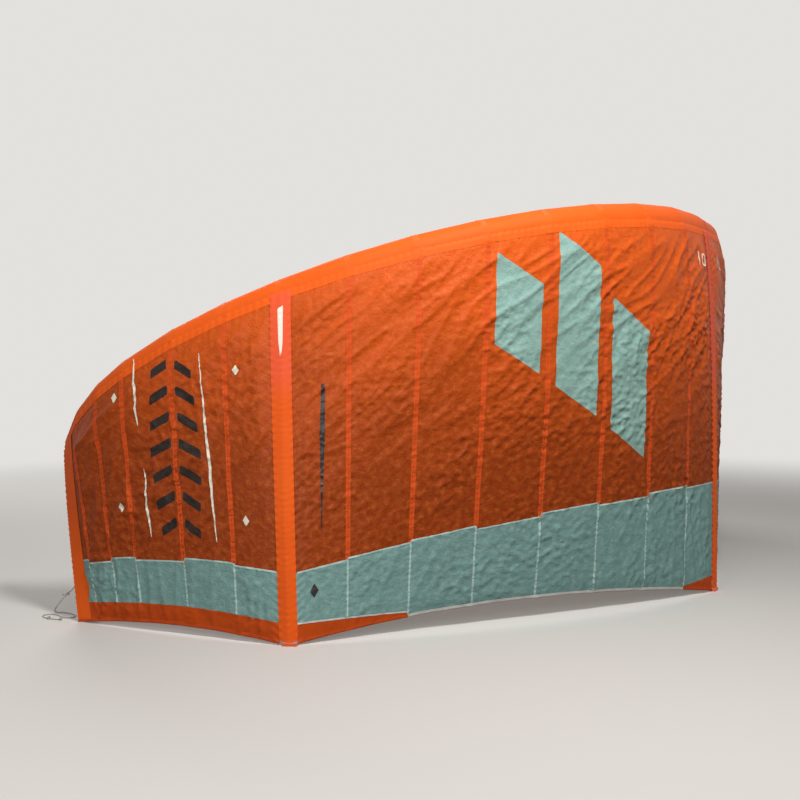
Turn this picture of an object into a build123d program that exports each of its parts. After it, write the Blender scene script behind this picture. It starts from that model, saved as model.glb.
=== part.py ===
from build123d import *
import os
from math import cos, hypot, pi, radians, sin, tan

# An inflatable kitesurf kite of 10 square metres, standing on its trailing edge with its
# leading edge up. X runs along the span, the outer face of the canopy looks to -Y, and +Z
# runs from the trailing edge up to the leading edge. All sizes are in millimetres.

# ------------------------------------------------------------------ plan of the leading edge
centre_panels = 8            # canopy panels from the centre strut to a side strut
tip_panels = 3               # full panels outboard of a side strut
narrow_panels = 3            # narrow panels round the wing tip
centre_panel_width = 276.5
tip_panel_width = 230
narrow_panel_width = 141
centre_half_kink = 2.75       # degrees between the tube and X at the centre strut
centre_bend = 9.04            # degrees that the tube turns at the first seam
centre_bend_step = -0.31     # change of that bend from seam to seam
tip_bend = 3.62               # degrees that the tube turns at a side strut
tip_bend_step = 1.84
tube_setback = 148         # axis of the tube behind the centre strut's foot
middle_of_depth = 1182.5     # of the kite, without its line, behind the centre strut's foot

# --------------------------------------------------------------- heights of the leading edge
kite_height = 1867.0         # top of the tube at the centre strut
tip_height = 790           # top of the tube where it turns down the wing tip
even_droop = 0.867            # share of the drop that follows a parabola
tip_droop_power = 11         # the rest comes in near the tip

# ------------------------------------------------------------------- leading edge and struts
tube_radius = 90.0           # leading edge tube at the centre
tube_tip_radius = 46.0       # where it turns down the wing tip
tube_end_radius = 33.0       # at its closed end
tube_end_height = 46.0       # closed end above the floor
tube_end_clearance = 14.0     # and clear of the tip patch
strut_radius = 50.0          # strut at the leading edge
strut_end_radius = 27.0      # strut near the trailing edge
strut_end_height = 70.0      # end of a strut above the trailing edge
strut_nose = 26.0            # length of the strut's rounded end
casing_wall = 1.0            # polyester cloth of the tube casings
bladder_wall = 0.6           # film of the bladders
bladder_gap = 1.5            # room between casing and bladder
seam_gap = 0.3               # room between sewn pieces that curve

# ---------------------------------------------------------------------------- canopy panels
canopy_cloth = 1.2           # ripstop, drawn thicker so that its plates keep their volume
camber_share = 0.017         # greatest camber as a share of the chord
camber_power = 0.48          # how far forward the camber sits
chord_steps = (0, 0.25, 0.5, 0.72, 0.88, 0.96, 1)
strut_band_width = 84.0      # strip of heavier cloth over each strut
strut_band_cloth = 1.2
foot_pad_height = 14.0       # folded webbing pad under each strut
foot_pad_width = 60.0
foot_pad_depth = 30.0
foot_pad_corner = 6.0
foot_pad_shift = 0.4         # pad set inward by this share of its depth
foot_pad_chamfer = 1.5

# ---------------------------------------------------------------------------- trailing edge
side_foot_out = 1940.0       # side strut's foot from the centre line
side_foot_back = 1100.0      # and behind the centre strut's foot
tip_foot_out = 2126.0
tip_foot_back = 2105.0
centre_scallop = 86.0        # rise of the trailing edge between two struts
tip_scallop = 33.0
foot_bulge = 100.0           # trailing edge stands out of the straight line between feet
seam_crowding = 0.02         # seams gather towards the struts by this share
tip_seam_share = 0.67        # full tip panels take this share of the tip's trailing edge
band_centre_height = 537.0   # top of the trailing edge band at the centre strut
band_side_height = 278.0
band_tip_height = 248.0
band_fall = 1.5              # power of the band's fall towards the side strut
band_end = 13.5              # the band stops here, in seams from the centre
patch_centre_height = 89.0   # corner patches below the band
patch_side_height = 82.0
patch_step_height = 25.0
patch_tail_height = 16.0
patch_seams = 2              # panels that a side corner patch spans
hem_height = 12.0
hem_thickness = 3.0
band_cloth = 1.0

last_seam = centre_panels + tip_panels + narrow_panels
up = Vector(0, 0, 1)


# ------------------------------------------------------------------------------- the outline
def panel_width(seam):
    """Width along the tube of the panel that starts at a seam."""
    if seam < centre_panels:
        return centre_panel_width
    if seam < centre_panels + tip_panels:
        return tip_panel_width
    return narrow_panel_width


def bend(seam):
    """Degrees that the tube turns at a seam."""
    if seam < centre_panels:
        return centre_bend + centre_bend_step * (seam - 1)
    return tip_bend + tip_bend_step * (seam - centre_panels)


def between(values, position):
    """Value at a place counted in seams, straight between whole seams."""
    low = min(int(position), len(values) - 2)
    return values[low] + (values[low + 1] - values[low]) * (position - low)


half_span = sum(panel_width(seam) for seam in range(last_seam))


def tube_radii():
    """Radius of the tube at each seam, and at its closed end."""
    radii = []
    run = 0.0
    for seam in range(last_seam + 1):
        radii.append(tube_radius + (tube_tip_radius - tube_radius) * run / half_span)
        run += panel_width(seam)
    return radii + [tube_end_radius]


def tube_axis():
    """Points of the left half's tube axis, one for each seam."""
    points = []
    heading = centre_half_kink
    x, y, run = 0.0, tube_setback, 0.0
    for seam in range(last_seam + 1):
        share = run / half_span
        droop = even_droop * share**2 + (1 - even_droop) * share**tip_droop_power
        top = kite_height - (kite_height - tip_height) * droop
        points.append(Vector(x, y, top - radii[seam]))
        if seam:
            heading += bend(seam)
        x -= panel_width(seam) * cos(radians(heading))
        y += panel_width(seam) * sin(radians(heading))
        run += panel_width(seam)
    return points


def trailing_edge():
    """Lowest points of the left half's canopy, one for each seam."""
    centre = Vector(0, 0, 0)
    side = Vector(-side_foot_out, side_foot_back, 0)
    tip = Vector(-tip_foot_out, tip_foot_back, 0)
    along = (side - centre).normalized()
    outward = up.cross(along)
    points = []
    for seam in range(centre_panels + 1):
        even = seam / centre_panels
        share = even - seam_crowding * sin(2 * pi * even)
        rise = centre_scallop * 4 * share * (1 - share)
        stand = foot_bulge * sin(pi * share) * (1 - share)
        points.append(centre + (side - centre) * share + outward * stand + up * rise)
    for seam in range(1, tip_panels + narrow_panels + 1):
        if seam <= tip_panels:
            share = tip_seam_share * seam / tip_panels
        else:
            share = tip_seam_share + (1 - tip_seam_share) * (seam - tip_panels) / narrow_panels
        rise = tip_scallop * 4 * share * (1 - share)
        points.append(side + (tip - side) * share + up * rise)
    return points


def across(direction, normal):
    """A direction turned square to a normal."""
    return (direction - normal * direction.dot(normal)).normalized()


radii = tube_radii()
axis = tube_axis()
feet = trailing_edge()
# The closed end of the tube stands behind the tip's corner, below the last seam.
last_run = (axis[-1] - axis[-2]).normalized()
tip_outward = up.cross(last_run).normalized()
tip_stand = tube_end_radius + tube_end_clearance
axis.append(feet[-1] + up * tube_end_height - tip_outward * tip_stand)

# The whole kite stands with the middle of its depth over the origin.
setback = Vector(0, -middle_of_depth, 0)
axis = [point + setback for point in axis]
feet = [foot + setback for foot in feet]

# Mitre planes of the tube: square to X at the centre, halfway between runs at a seam.
runs = [(b - a).normalized() for a, b in zip(axis, axis[1:])]
mitres = [Vector(-1, 0, 0)]
mitres += [(a + b).normalized() for a, b in zip(runs, runs[1:])]
outwards = [up.cross(mitre).normalized() for mitre in mitres]
mitres.append(runs[-1])
outwards.append(across(outwards[-1], runs[-1]))
tops = [
    point + outward * (radius + seam_gap)
    for point, outward, radius in zip(axis, outwards, radii)
]


def station(position):
    """Plane of the canopy's section at a place counted in seams, and its chord.

    The plane stands on the trailing edge. Its X runs up the chord and its Y points outward.
    """
    foot = between(feet, position)
    chord = between(tops[:-1], position) - foot
    x_dir = chord.normalized()
    y_dir = across(between(outwards, position), x_dir)
    return Plane(origin=foot, x_dir=x_dir, z_dir=x_dir.cross(y_dir)), chord.length


def camber(height, chord):
    """How far the canopy stands outside its chord line."""
    share = 1 - height / chord
    peak = camber_power / (1 + camber_power)
    shape = max(share, 0) ** camber_power * (1 - share)
    return camber_share * chord * shape / (peak**camber_power * (1 - peak))


def panel(start, end, bottom, top, cloth, steps=(0, 1), inner=0.0):
    """A sewn piece of canopy between two places, from one height to another."""
    with BuildPart() as piece:
        for position in (start, end):
            plane, chord = station(position)
            low, high = bottom(position), top(position)
            heights = [low + (high - low) * step for step in steps]
            line = [(height, camber(height, chord) - inner) for height in heights]
            face = [(height, depth + cloth) for height, depth in line]
            with BuildSketch(plane):
                with BuildLine():
                    Polyline(*line, *reversed(face), close=True)
                make_face()
        loft(ruled=True)
    return piece.part


# ---------------------------------------------------------------- heights of the canopy rows
def chord_top(position):
    return station(position)[1]


def hem_top(position):
    return hem_height


def hem_bottom(position):
    return 0.0


def band_top(position):
    """Height of the trailing edge band above the trailing edge."""
    if position <= centre_panels:
        fall = (1 - position / centre_panels) ** band_fall
        return band_side_height + (band_centre_height - band_side_height) * fall
    share = min((position - centre_panels) / (tip_panels + narrow_panels), 1)
    return band_side_height + (band_tip_height - band_side_height) * share


def pad_top(position):
    return foot_pad_height


def centre_patch_top(position):
    return patch_tail_height + (patch_centre_height - patch_tail_height) * (1 - position)


def side_patch_top(position):
    share = (centre_panels - position) / patch_seams
    return patch_side_height + (patch_step_height - patch_side_height) * share


def tip_patch_top(position):
    return patch_side_height


band_half = strut_band_width / 2
centre_edge = band_half / centre_panel_width
inner_edge = centre_panels - band_half / centre_panel_width
outer_edge = centre_panels + band_half / tip_panel_width
step_seam = centre_panels - patch_seams
centre_places = [centre_edge, *range(1, centre_panels), inner_edge]
tip_places = [outer_edge, *range(centre_panels + 1, last_seam), band_end, last_seam]


def spans(places):
    """Neighbouring pairs of places."""
    return list(zip(places, places[1:]))


os.makedirs("parts", exist_ok=True)


def keep(name, pieces):
    """Writes a node as a group of its separate pieces."""
    node = Compound(label=name, children=list(pieces))
    export_step(node, f"parts/{name}.step")


def keep_pair(name, pieces):
    """Writes a node of the left half and its mirror image on the right."""
    keep(f"left_{name}", pieces)
    keep(f"right_{name}", [mirror(piece, about=Plane.YZ) for piece in pieces])


# ---------------------------------------------------------------------------- canopy panels
centre_bay = [
    panel(start, end, band_top, chord_top, canopy_cloth, chord_steps)
    for start, end in spans(centre_places)
]
keep_pair("centre_bay_canopy", centre_bay)

tip_bay = [
    panel(start, end, band_top, chord_top, canopy_cloth, chord_steps)
    for start, end in spans(tip_places)
]
keep_pair("tip_bay_canopy", tip_bay)

# ------------------------------------------------------------------------ trailing edge band
centre_band = [panel(centre_edge, 1, centre_patch_top, band_top, band_cloth)]
centre_band += [
    panel(seam, seam + 1, hem_top, band_top, band_cloth) for seam in range(1, step_seam)
]
side_places = [*range(step_seam, centre_panels), inner_edge]
centre_band += [
    panel(start, end, side_patch_top, band_top, band_cloth)
    for start, end in spans(side_places)
]
keep_pair("centre_bay_edge_band", centre_band)

band_places = [outer_edge, *range(centre_panels + 1, int(band_end) + 1), band_end]
tip_band = [
    panel(start, end, tip_patch_top, band_top, band_cloth) for start, end in spans(band_places)
]
keep_pair("tip_bay_edge_band", tip_band)

# ---------------------------------------------------------------------------- corner patches
side_patches = [
    panel(start, end, hem_top, side_patch_top, band_cloth) for start, end in spans(side_places)
]
side_patches.append(panel(centre_edge, 1, hem_top, centre_patch_top, band_cloth))
lower_strip = [
    panel(start, end, hem_top, tip_patch_top, band_cloth) for start, end in spans(band_places)
]
keep_pair("corner_patches", side_patches + lower_strip)

corner_places = [band_end, last_seam]
tip_patch = [
    panel(start, end, hem_top, band_top, band_cloth) for start, end in spans(corner_places)
]
keep_pair("tip_patch", tip_patch)

# --------------------------------------------------------------------------------------- hem
hem_places = centre_places + tip_places
hem = [
    panel(start, end, hem_bottom, hem_top, hem_thickness, inner=hem_thickness / 3)
    for start, end in spans(hem_places)
    if (start, end) != (inner_edge, outer_edge)
]
keep_pair("trailing_edge_hem", hem)

# ------------------------------------------------------------------------------- strut bands
band_steps = (0, 0.05, 0.1, 0.2, 0.4, 0.6, 0.75, 0.88, 0.96, 1)
band_reach = 0.21            # no two neighbouring steps are further apart


def strut_band(start, middle, end):
    """Strip of heavier cloth over a strut, folded along its middle."""
    return [
        panel(a, b, pad_top, chord_top, strut_band_cloth, band_steps)
        for a, b in ((start, middle), (middle, end))
    ]


half_band = panel(0, centre_edge, pad_top, chord_top, strut_band_cloth, band_steps)
keep("centre_strut_band", [half_band, mirror(half_band, about=Plane.YZ)])
keep_pair("strut_band", strut_band(inner_edge, centre_panels, outer_edge))


# ---------------------------------------------------------------------- leading edge tube
def ring_plane(seam):
    """Mitre plane of the tube at a seam, with its X pointing outward."""
    return Plane(origin=axis[seam], x_dir=outwards[seam], z_dir=mitres[seam])


def tube(first, last, shrink, end_gap=0.0):
    """Solid inside of the tube from seam to seam, smaller all round by shrink."""
    with BuildPart() as solid:
        for seam in range(first, last + 1):
            plane = ring_plane(seam)
            if seam == len(radii) - 1:
                plane = plane.offset(-end_gap)
            with BuildSketch(plane):
                Circle(radii[seam] - shrink)
        loft(ruled=True)
    return solid.part


def shell(outer, inner):
    """A hollow piece: one solid less another."""
    with BuildPart() as hollow:
        add(outer)
        add(inner, mode=Mode.SUBTRACT)
    return hollow.part


tube_end = len(radii) - 1
casing = [
    shell(tube(seam, seam + 1, 0), tube(seam, seam + 1, casing_wall))
    for seam in range(tube_end - 1)
]
casing.append(
    shell(
        tube(tube_end - 1, tube_end, 0),
        tube(tube_end - 1, tube_end, casing_wall, casing_wall),
    )
)
keep_pair("leading_edge_casing", casing)

bladder_inset = casing_wall + bladder_gap
half_bladder = shell(
    tube(0, tube_end, bladder_inset, bladder_inset),
    tube(0, tube_end, bladder_inset + bladder_wall, bladder_inset + bladder_wall),
)
with BuildPart() as whole_bladder:
    add(half_bladder)
    mirror(about=Plane.YZ)
keep("leading_edge_bladder", [whole_bladder.part])


# -------------------------------------------------------------------------------- struts
nose_steps = ((0, 0.15), (0.12, 0.55), (0.45, 0.88))
strut_seat = 4.0             # the strut runs into the tube to this far below its top seam
film_gap = 4.5               # bladder's end above the casing's end
side_strut = centre_panels


def strut_size(height, chord):
    """Radius of a strut at a height above the trailing edge."""
    share = (height - strut_end_height) / (chord - strut_end_height)
    return strut_end_radius + (strut_radius - strut_end_radius) * share


def band_height(chord, step):
    """Height of a bend in the band over a strut."""
    return foot_pad_height + (chord - foot_pad_height) * step


def ridge_slope(position, step):
    """Slope between a strut's tangent plane and the cloth beside it, the steeper side."""
    plane, chord = station(position)
    height = band_height(chord, step)
    here = camber(height, chord)
    beside = [other for other in band_steps if abs(other - step) < band_reach and other != step]
    falls = [
        (camber(band_height(chord, other), chord) - here)
        / (band_height(chord, other) - height)
        for other in (beside[0], beside[-1])
    ]
    edges = (inner_edge, outer_edge) if position else (centre_edge,)
    slopes = [0]
    for edge in edges:
        near, near_chord = station(edge)
        near_height = band_height(near_chord, step)
        there = near.from_local_coords(Vector(near_height, camber(near_height, near_chord), 0))
        away = plane.to_local_coords(there) - Vector(height, here, 0)
        slopes += [(away.X * fall - away.Y) / abs(away.Z) for fall in falls]
    return max(slopes)


def strut_line(position, height):
    """Distance of a strut's middle line outside the chord, a negative one inside."""
    chord = station(position)[1]
    low, high = [
        pair for pair in spans(band_steps) if band_height(chord, pair[0]) <= height
    ][-1]
    lines = []
    for step in (low, high):
        place = band_height(chord, step)
        stand = strut_size(place, chord) * hypot(1, ridge_slope(position, step))
        lines.append(camber(place, chord) - stand - 2 * seam_gap)
    start, end = band_height(chord, low), band_height(chord, high)
    share = (height - start) / (end - start)
    return lines[0] + (lines[1] - lines[0]) * share


def strut_form(position, bottom, top, shrink, nose):
    """Solid inside of a strut between two heights, smaller all round by shrink."""
    plane, chord = station(position)
    sections = [(bottom + nose * step, share) for step, share in nose_steps if nose]
    start = bottom + nose
    places = [band_height(chord, step) for step in band_steps]
    bends = [place for place in places if start < place < top]
    sections += [(height, 1) for height in (start, *bends, top)]
    with BuildPart() as form:
        for height, share in sections:
            middle = plane.from_local_coords(Vector(height, strut_line(position, height), 0))
            ring = Plane(origin=middle, x_dir=plane.y_dir, z_dir=plane.x_dir)
            with BuildSketch(ring):
                Circle((strut_size(height, chord) - shrink) * share)
        loft(ruled=True)
    return form.part


def strut(position, joint):
    """Casing of a strut, cut to sit on the leading edge tube, and its bladder."""
    chord = station(position)[1]
    top = chord - strut_seat
    outer = strut_form(position, strut_end_height, top, 0, strut_nose)
    inner = strut_form(
        position, strut_end_height + casing_wall, top + casing_wall, casing_wall, strut_nose
    )
    with BuildPart() as sleeve:
        add(outer)
        add(inner, mode=Mode.SUBTRACT)
        add(joint, mode=Mode.SUBTRACT)
    low = strut_end_height + film_gap
    high = chord - 2 * tube_radius - bladder_inset
    film = shell(
        strut_form(position, low, high, bladder_inset, strut_nose),
        strut_form(
            position,
            low + bladder_wall,
            high - bladder_wall,
            bladder_inset + bladder_wall,
            strut_nose,
        ),
    )
    return sleeve.part, film


half_joint = tube(0, 1, -seam_gap)
with BuildPart() as centre_joint:
    add(half_joint)
    mirror(about=Plane.YZ)
centre_casing, centre_film = strut(0, centre_joint.part)
side_joint = tube(side_strut - 1, side_strut + 1, -seam_gap)
side_casing, side_film = strut(side_strut, side_joint)
keep("centre_strut_casing", [centre_casing])
keep("centre_strut_bladder", [centre_film])
keep_pair("strut_casing", [side_casing])
keep_pair("strut_bladder", [side_film])


def foot_pad(position):
    """Folded webbing pad that a strut stands on, flat underneath."""
    plane = station(position)[0]
    flat = Plane(origin=plane.origin, x_dir=plane.z_dir, z_dir=up)
    inward = flat.y_dir.dot(plane.y_dir) < 0
    shift = foot_pad_depth * foot_pad_shift * (1 if inward else -1)
    with BuildPart() as pad:
        with BuildSketch(flat):
            with Locations((0, shift)):
                RectangleRounded(foot_pad_width, foot_pad_depth, foot_pad_corner)
        extrude(amount=foot_pad_height - seam_gap)
        chamfer(pad.faces().sort_by(Axis.Z)[-1].edges(), foot_pad_chamfer)
    return pad.part


keep("centre_foot_pad", [foot_pad(0)])
keep_pair("foot_pad", [foot_pad(side_strut)])


# ------------------------------------------------------------- hoses from tube to struts
elbow_angle = 35.0           # degrees that an elbow points below level on the tube
elbow_radius = 6.5
elbow_stub = 14.0
elbow_bend = 9.0
elbow_run = 18.0             # from the elbow's corner to its shoulder
barb_radius = 4.4
barb_length = 16.0
weld_radius = 17.0           # disc that welds an elbow to the bladder through the casing
weld_thickness = 2.4
weld_sink = 6.0              # round parts start this deep and are cut to the tube
elbow_sink = 2.0
barb_root = 1.0              # part of the barb inside the shoulder
hose_radius = 7.0
hose_bore = 4.6
hose_drop = 330.0            # lower elbow below the strut's top seam
hose_straight = 62.0         # straight run that the clip slides on
hose_lower_straight = 31.0
hose_curve = 40.0
clip_length = 36.0
clip_width = 20.0
clip_height = 10.0
clip_corner = 5.0
clip_room = 0.4
clip_slot = 4.5              # narrow end of the clip's keyhole
clip_slot_length = 18.0
clip_drop = 34.0             # middle of the clip below the upper elbow's shoulder


def turned(angle):
    """Direction in a strut's plane that points inward, and below level by an angle."""
    return Vector(-sin(radians(angle)), -cos(radians(angle)), 0)


def hose_route(position):
    """Points in a strut's plane: the two elbows' roots, corners and shoulders."""
    plane, chord = station(position)
    seam = int(position)
    middle = plane.to_local_coords(axis[seam])
    aim = turned(elbow_angle)
    upper_root = middle + aim * radii[seam]
    upper_corner = middle + aim * (radii[seam] + elbow_stub)
    upper_shoulder = upper_corner - Vector(elbow_run, 0, 0)
    low = chord - hose_drop
    side = strut_line(position, low) - strut_size(low, chord)
    lower_root = Vector(low, side, 0)
    lower_corner = Vector(low, side - elbow_stub, 0)
    lower_shoulder = lower_corner + Vector(elbow_run, 0, 0)
    return upper_root, upper_corner, upper_shoulder, lower_root, lower_corner, lower_shoulder


def rod(plane, points, radius, bend_radius, bore=0.0):
    """Round bar or hose along straight runs and arcs in a plane."""
    with BuildPart() as bar:
        with BuildLine(plane) as route:
            FilletPolyline(*[(point.X, point.Y) for point in points], radius=bend_radius)
        start = Plane(origin=route.line @ 0, z_dir=route.line % 0)
        with BuildSketch(start):
            Circle(radius)
            if bore:
                Circle(bore, mode=Mode.SUBTRACT)
        sweep()
    return bar.part


def cylinder(plane, radius, low, high):
    """Round bar square to a plane, between two heights over it."""
    with BuildPart() as bar:
        with BuildSketch(plane.offset(low)):
            Circle(radius)
        extrude(amount=high - low)
    return bar.part


def elbow(plane, root, corner, shoulder, body):
    """Moulded elbow on its weld disc, cut to sit on a tube or a strut."""
    aim = (corner - root).normalized()
    down = (shoulder - corner).normalized()
    foot = plane.from_local_coords(root)
    out = plane.from_local_coords(root + aim) - foot
    disc = Plane(origin=foot, z_dir=out)
    tip = Plane(
        origin=plane.from_local_coords(shoulder),
        z_dir=plane.from_local_coords(shoulder + down) - plane.from_local_coords(shoulder),
    )
    with BuildPart() as piece:
        add(cylinder(disc, weld_radius, -weld_sink, weld_thickness))
        add(rod(plane, (root - aim * elbow_sink, corner, shoulder), elbow_radius, elbow_bend))
        add(cylinder(tip, barb_radius, -barb_root, barb_length))
        add(body, mode=Mode.SUBTRACT)
    return piece.part


def hose(plane, upper, lower):
    """Silicone hose from one elbow's shoulder to the other's."""
    points = (
        upper,
        upper - Vector(hose_straight, 0, 0),
        lower + Vector(hose_lower_straight, 0, 0),
        lower,
    )
    return rod(plane, points, hose_radius, hose_curve, hose_bore)


def clip(plane, shoulder):
    """Pinch clip with a keyhole, round end over the hose and narrow end beside it."""
    place = plane.from_local_coords(shoulder - Vector(clip_drop + clip_height / 2, 0, 0))
    flat = Plane(origin=place, x_dir=plane.z_dir, z_dir=plane.x_dir)
    shift = (clip_length - clip_width) / 2
    with BuildPart() as piece:
        with BuildSketch(flat):
            with Locations((shift, 0)):
                RectangleRounded(clip_length, clip_width, clip_corner)
            Circle(hose_radius + clip_room, mode=Mode.SUBTRACT)
            with Locations((shift + clip_slot, 0)):
                SlotOverall(clip_slot_length, clip_slot, mode=Mode.SUBTRACT)
        extrude(amount=clip_height)
    return piece.part


def one_pump(position, name, tube_body):
    """Elbows, hose and clip that carry air from the tube to a strut."""
    plane, chord = station(position)
    roots = hose_route(position)
    strut_body = strut_form(
        position, strut_end_height, chord - strut_seat, -seam_gap, strut_nose
    )
    elbows = [
        elbow(plane, *roots[:3], tube_body),
        elbow(plane, *roots[3:], strut_body),
    ]
    return elbows, hose(plane, roots[2], roots[5]), clip(plane, roots[2])


centre_set = one_pump(0, "centre", centre_joint.part)
side_set = one_pump(side_strut, "side", side_joint)
keep("centre_hose_elbows", centre_set[0])
keep_pair("hose_elbows", side_set[0])
keep("centre_hose", [centre_set[1]])
keep_pair("hose", [side_set[1]])
keep("centre_hose_clip", [centre_set[2]])
keep_pair("hose_clip", [side_set[2]])

# -------------------------------------------------------------------- valves on the tube
valve_position = 0.52        # in seams from the centre
valve_dip = 12.0             # degrees that the valves point below level
flange_thickness = 2.5
flange_sink = 12.0           # flanges start this deep and are cut to the tube
bore_overrun = 1.0
inflate_flange_radius = 30.0
inflate_stem_radius = 14.0
inflate_stem_height = 20.0
inflate_bore_radius = 8.0
inflate_bore_depth = 17.0
plug_room = 0.3
plug_depth = 8.0
plug_tip_radius = 6.0
cap_thickness = 4.0
hinge_reach = 20.0           # hinge of the plug's cap from the middle of the stem
hinge_pin_radius = 1.5
hinge_room = 0.12
hinge_drill = 20.0           # half of the drilled length
knuckle_radius = 3.2
knuckle_width = 7.4
ear_width = 3.0
ear_gap = 0.3
deflate_flange_radius = 36.0
deflate_stem_radius = 22.0
deflate_stem_height = 14.0
deflate_bore_radius = 17.0
deflate_cap_wall = 3.0
deflate_cap_room = 0.4
deflate_cap_lift = 1.0       # cap clear of the flange
grip_count = 12
grip_radius = 2.2


def tube_face(position, dip):
    """Plane on the tube's inner side, looking out, with its X along the tube."""
    seam = int(position)
    middle = between(axis, position)
    inward = across(-between(outwards, position), runs[seam])
    drop = runs[seam].cross(inward).normalized()
    drop = drop if drop.Z < 0 else -drop
    aim = inward * cos(radians(dip)) + drop * sin(radians(dip))
    root = middle + aim * between(radii, position)
    return Plane(origin=root, x_dir=runs[seam], z_dir=aim)


valve = tube_face(valve_position, valve_dip)
hinge_height = inflate_stem_height + seam_gap + cap_thickness / 2
hinge_plane = Plane(
    origin=valve.from_local_coords(Vector(hinge_reach, 0, hinge_height)),
    x_dir=valve.x_dir,
    z_dir=valve.y_dir,
)
ear_start = knuckle_width / 2 + ear_gap


with BuildPart() as inflate_valve:
    add(cylinder(valve, inflate_flange_radius, -flange_sink, flange_thickness))
    add(cylinder(valve, inflate_stem_radius, 0, inflate_stem_height))
    for low in (ear_start, -ear_start - ear_width):
        with BuildSketch(hinge_plane.offset(low)):
            Circle(knuckle_radius)
            with BuildLine():
                Polyline(
                    (-knuckle_radius, 0),
                    (knuckle_radius, 0),
                    (-hinge_reach / 3, inflate_stem_height / 2),
                    (-hinge_reach / 2, inflate_stem_height / 2),
                    (-hinge_reach / 2, cap_thickness),
                    close=True,
                )
            make_face()
        extrude(amount=ear_width)
    add(cylinder(hinge_plane, hinge_pin_radius + hinge_room, -hinge_drill, hinge_drill), mode=Mode.SUBTRACT)
    bore_bottom = inflate_stem_height - inflate_bore_depth
    add(
        cylinder(valve, inflate_bore_radius, bore_bottom, inflate_stem_height + bore_overrun),
        mode=Mode.SUBTRACT,
    )
    add(half_joint, mode=Mode.SUBTRACT)
keep("inflate_valve", [inflate_valve.part])

with BuildPart() as plug_cap:
    base = inflate_stem_height + seam_gap
    add(cylinder(valve, inflate_stem_radius, base, base + cap_thickness))
    with BuildSketch(valve.offset(base)):
        Circle(inflate_bore_radius - plug_room)
    with BuildSketch(valve.offset(base - plug_depth)):
        Circle(plug_tip_radius)
    loft()
    with BuildSketch(valve.offset(base)):
        with Locations((hinge_reach / 2, 0)):
            Rectangle(hinge_reach, knuckle_width)
    extrude(amount=cap_thickness)
    add(cylinder(hinge_plane, knuckle_radius, -knuckle_width / 2, knuckle_width / 2))
    add(cylinder(hinge_plane, hinge_pin_radius + hinge_room, -hinge_drill, hinge_drill), mode=Mode.SUBTRACT)
keep("inflate_valve_cap", [plug_cap.part])
pin_half = ear_start + ear_width
keep("inflate_valve_pin", [cylinder(hinge_plane, hinge_pin_radius, -pin_half, pin_half)])

with BuildPart() as deflate_left:
    add(cylinder(valve, deflate_flange_radius, -flange_sink, flange_thickness))
    add(cylinder(valve, deflate_stem_radius, 0, deflate_stem_height))
    add(
        cylinder(valve, deflate_bore_radius, flange_thickness, deflate_stem_height + bore_overrun),
        mode=Mode.SUBTRACT,
    )
    add(half_joint, mode=Mode.SUBTRACT)
keep("deflate_valve", [mirror(deflate_left.part, about=Plane.YZ)])

cap_base = flange_thickness + deflate_cap_lift
cap_top = deflate_stem_height + deflate_cap_room
cap_radius = deflate_stem_radius + deflate_cap_room + deflate_cap_wall
with BuildPart() as cap_left:
    add(cylinder(valve, cap_radius, cap_base, cap_top + deflate_cap_wall))
    add(
        cylinder(valve, deflate_stem_radius + deflate_cap_room, cap_base - deflate_cap_lift, cap_top),
        mode=Mode.SUBTRACT,
    )
    with BuildSketch(valve.offset(cap_base)):
        with PolarLocations(cap_radius + grip_radius / 2, grip_count):
            Circle(grip_radius)
    extrude(amount=cap_top + deflate_cap_wall - cap_base, mode=Mode.SUBTRACT)
keep("deflate_valve_cap", [mirror(cap_left.part, about=Plane.YZ)])

# ------------------------------------------------------------ webbing loops and the ring
webbing = 1.6
loop_room = 0.3
leash_position = 1.5
leash_ring_rod = 2.0
leash_ring_half = 13.0
leash_ring_reach = 20.0
leash_ring_bends = (3.5, 3.5, 10.0, 10.0)
leash_loop_width = 20.0
leash_loop_height = 9.0
tab_width = 16.0
tab_opening = 1.6
tab_height = 18.0
tab_positions = (2.5, 5.0, 7.4, 9.5)
tab_dip = 50.0
tip_tab_height = 165.0       # of the rear line's tab above the floor
tip_tab_length = 15.0
tip_tab_width = 14.0
tip_tab_opening = 2.6


def webbing_loop(plane, opening, height, width, body):
    """Strip of webbing folded over an opening, both ends sewn to the tube."""
    outer = opening + webbing
    with BuildPart() as loop:
        with BuildSketch(Plane(origin=plane.origin, x_dir=plane.y_dir, z_dir=plane.x_dir)):
            with Locations((0, height)):
                Circle(outer)
            with Locations((0, height / 2 - outer)):
                Rectangle(2 * outer, height + 2 * outer)
            with Locations((0, height)):
                Circle(opening, mode=Mode.SUBTRACT)
            with Locations((0, height / 2 - outer)):
                Rectangle(2 * opening, height + 2 * outer, mode=Mode.SUBTRACT)
        extrude(amount=width / 2, both=True)
        add(body, mode=Mode.SUBTRACT)
    return loop.part


def tab_on_tube(position):
    first = int(position) if position % 1 else int(position) - 1
    last = int(position) + 1
    face = tube_face(position, tab_dip)
    return webbing_loop(face, tab_opening, tab_height, tab_width, tube(first, last, -seam_gap))


keep_pair("bridle_tabs", [tab_on_tube(position) for position in tab_positions])

leash_face = tube_face(leash_position, valve_dip)
leash_body = tube(1, 2, -seam_gap)
leash_opening = leash_ring_rod + loop_room
keep(
    "leash_loop",
    [webbing_loop(leash_face, leash_opening, leash_loop_height, leash_loop_width, leash_body)],
)
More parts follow.
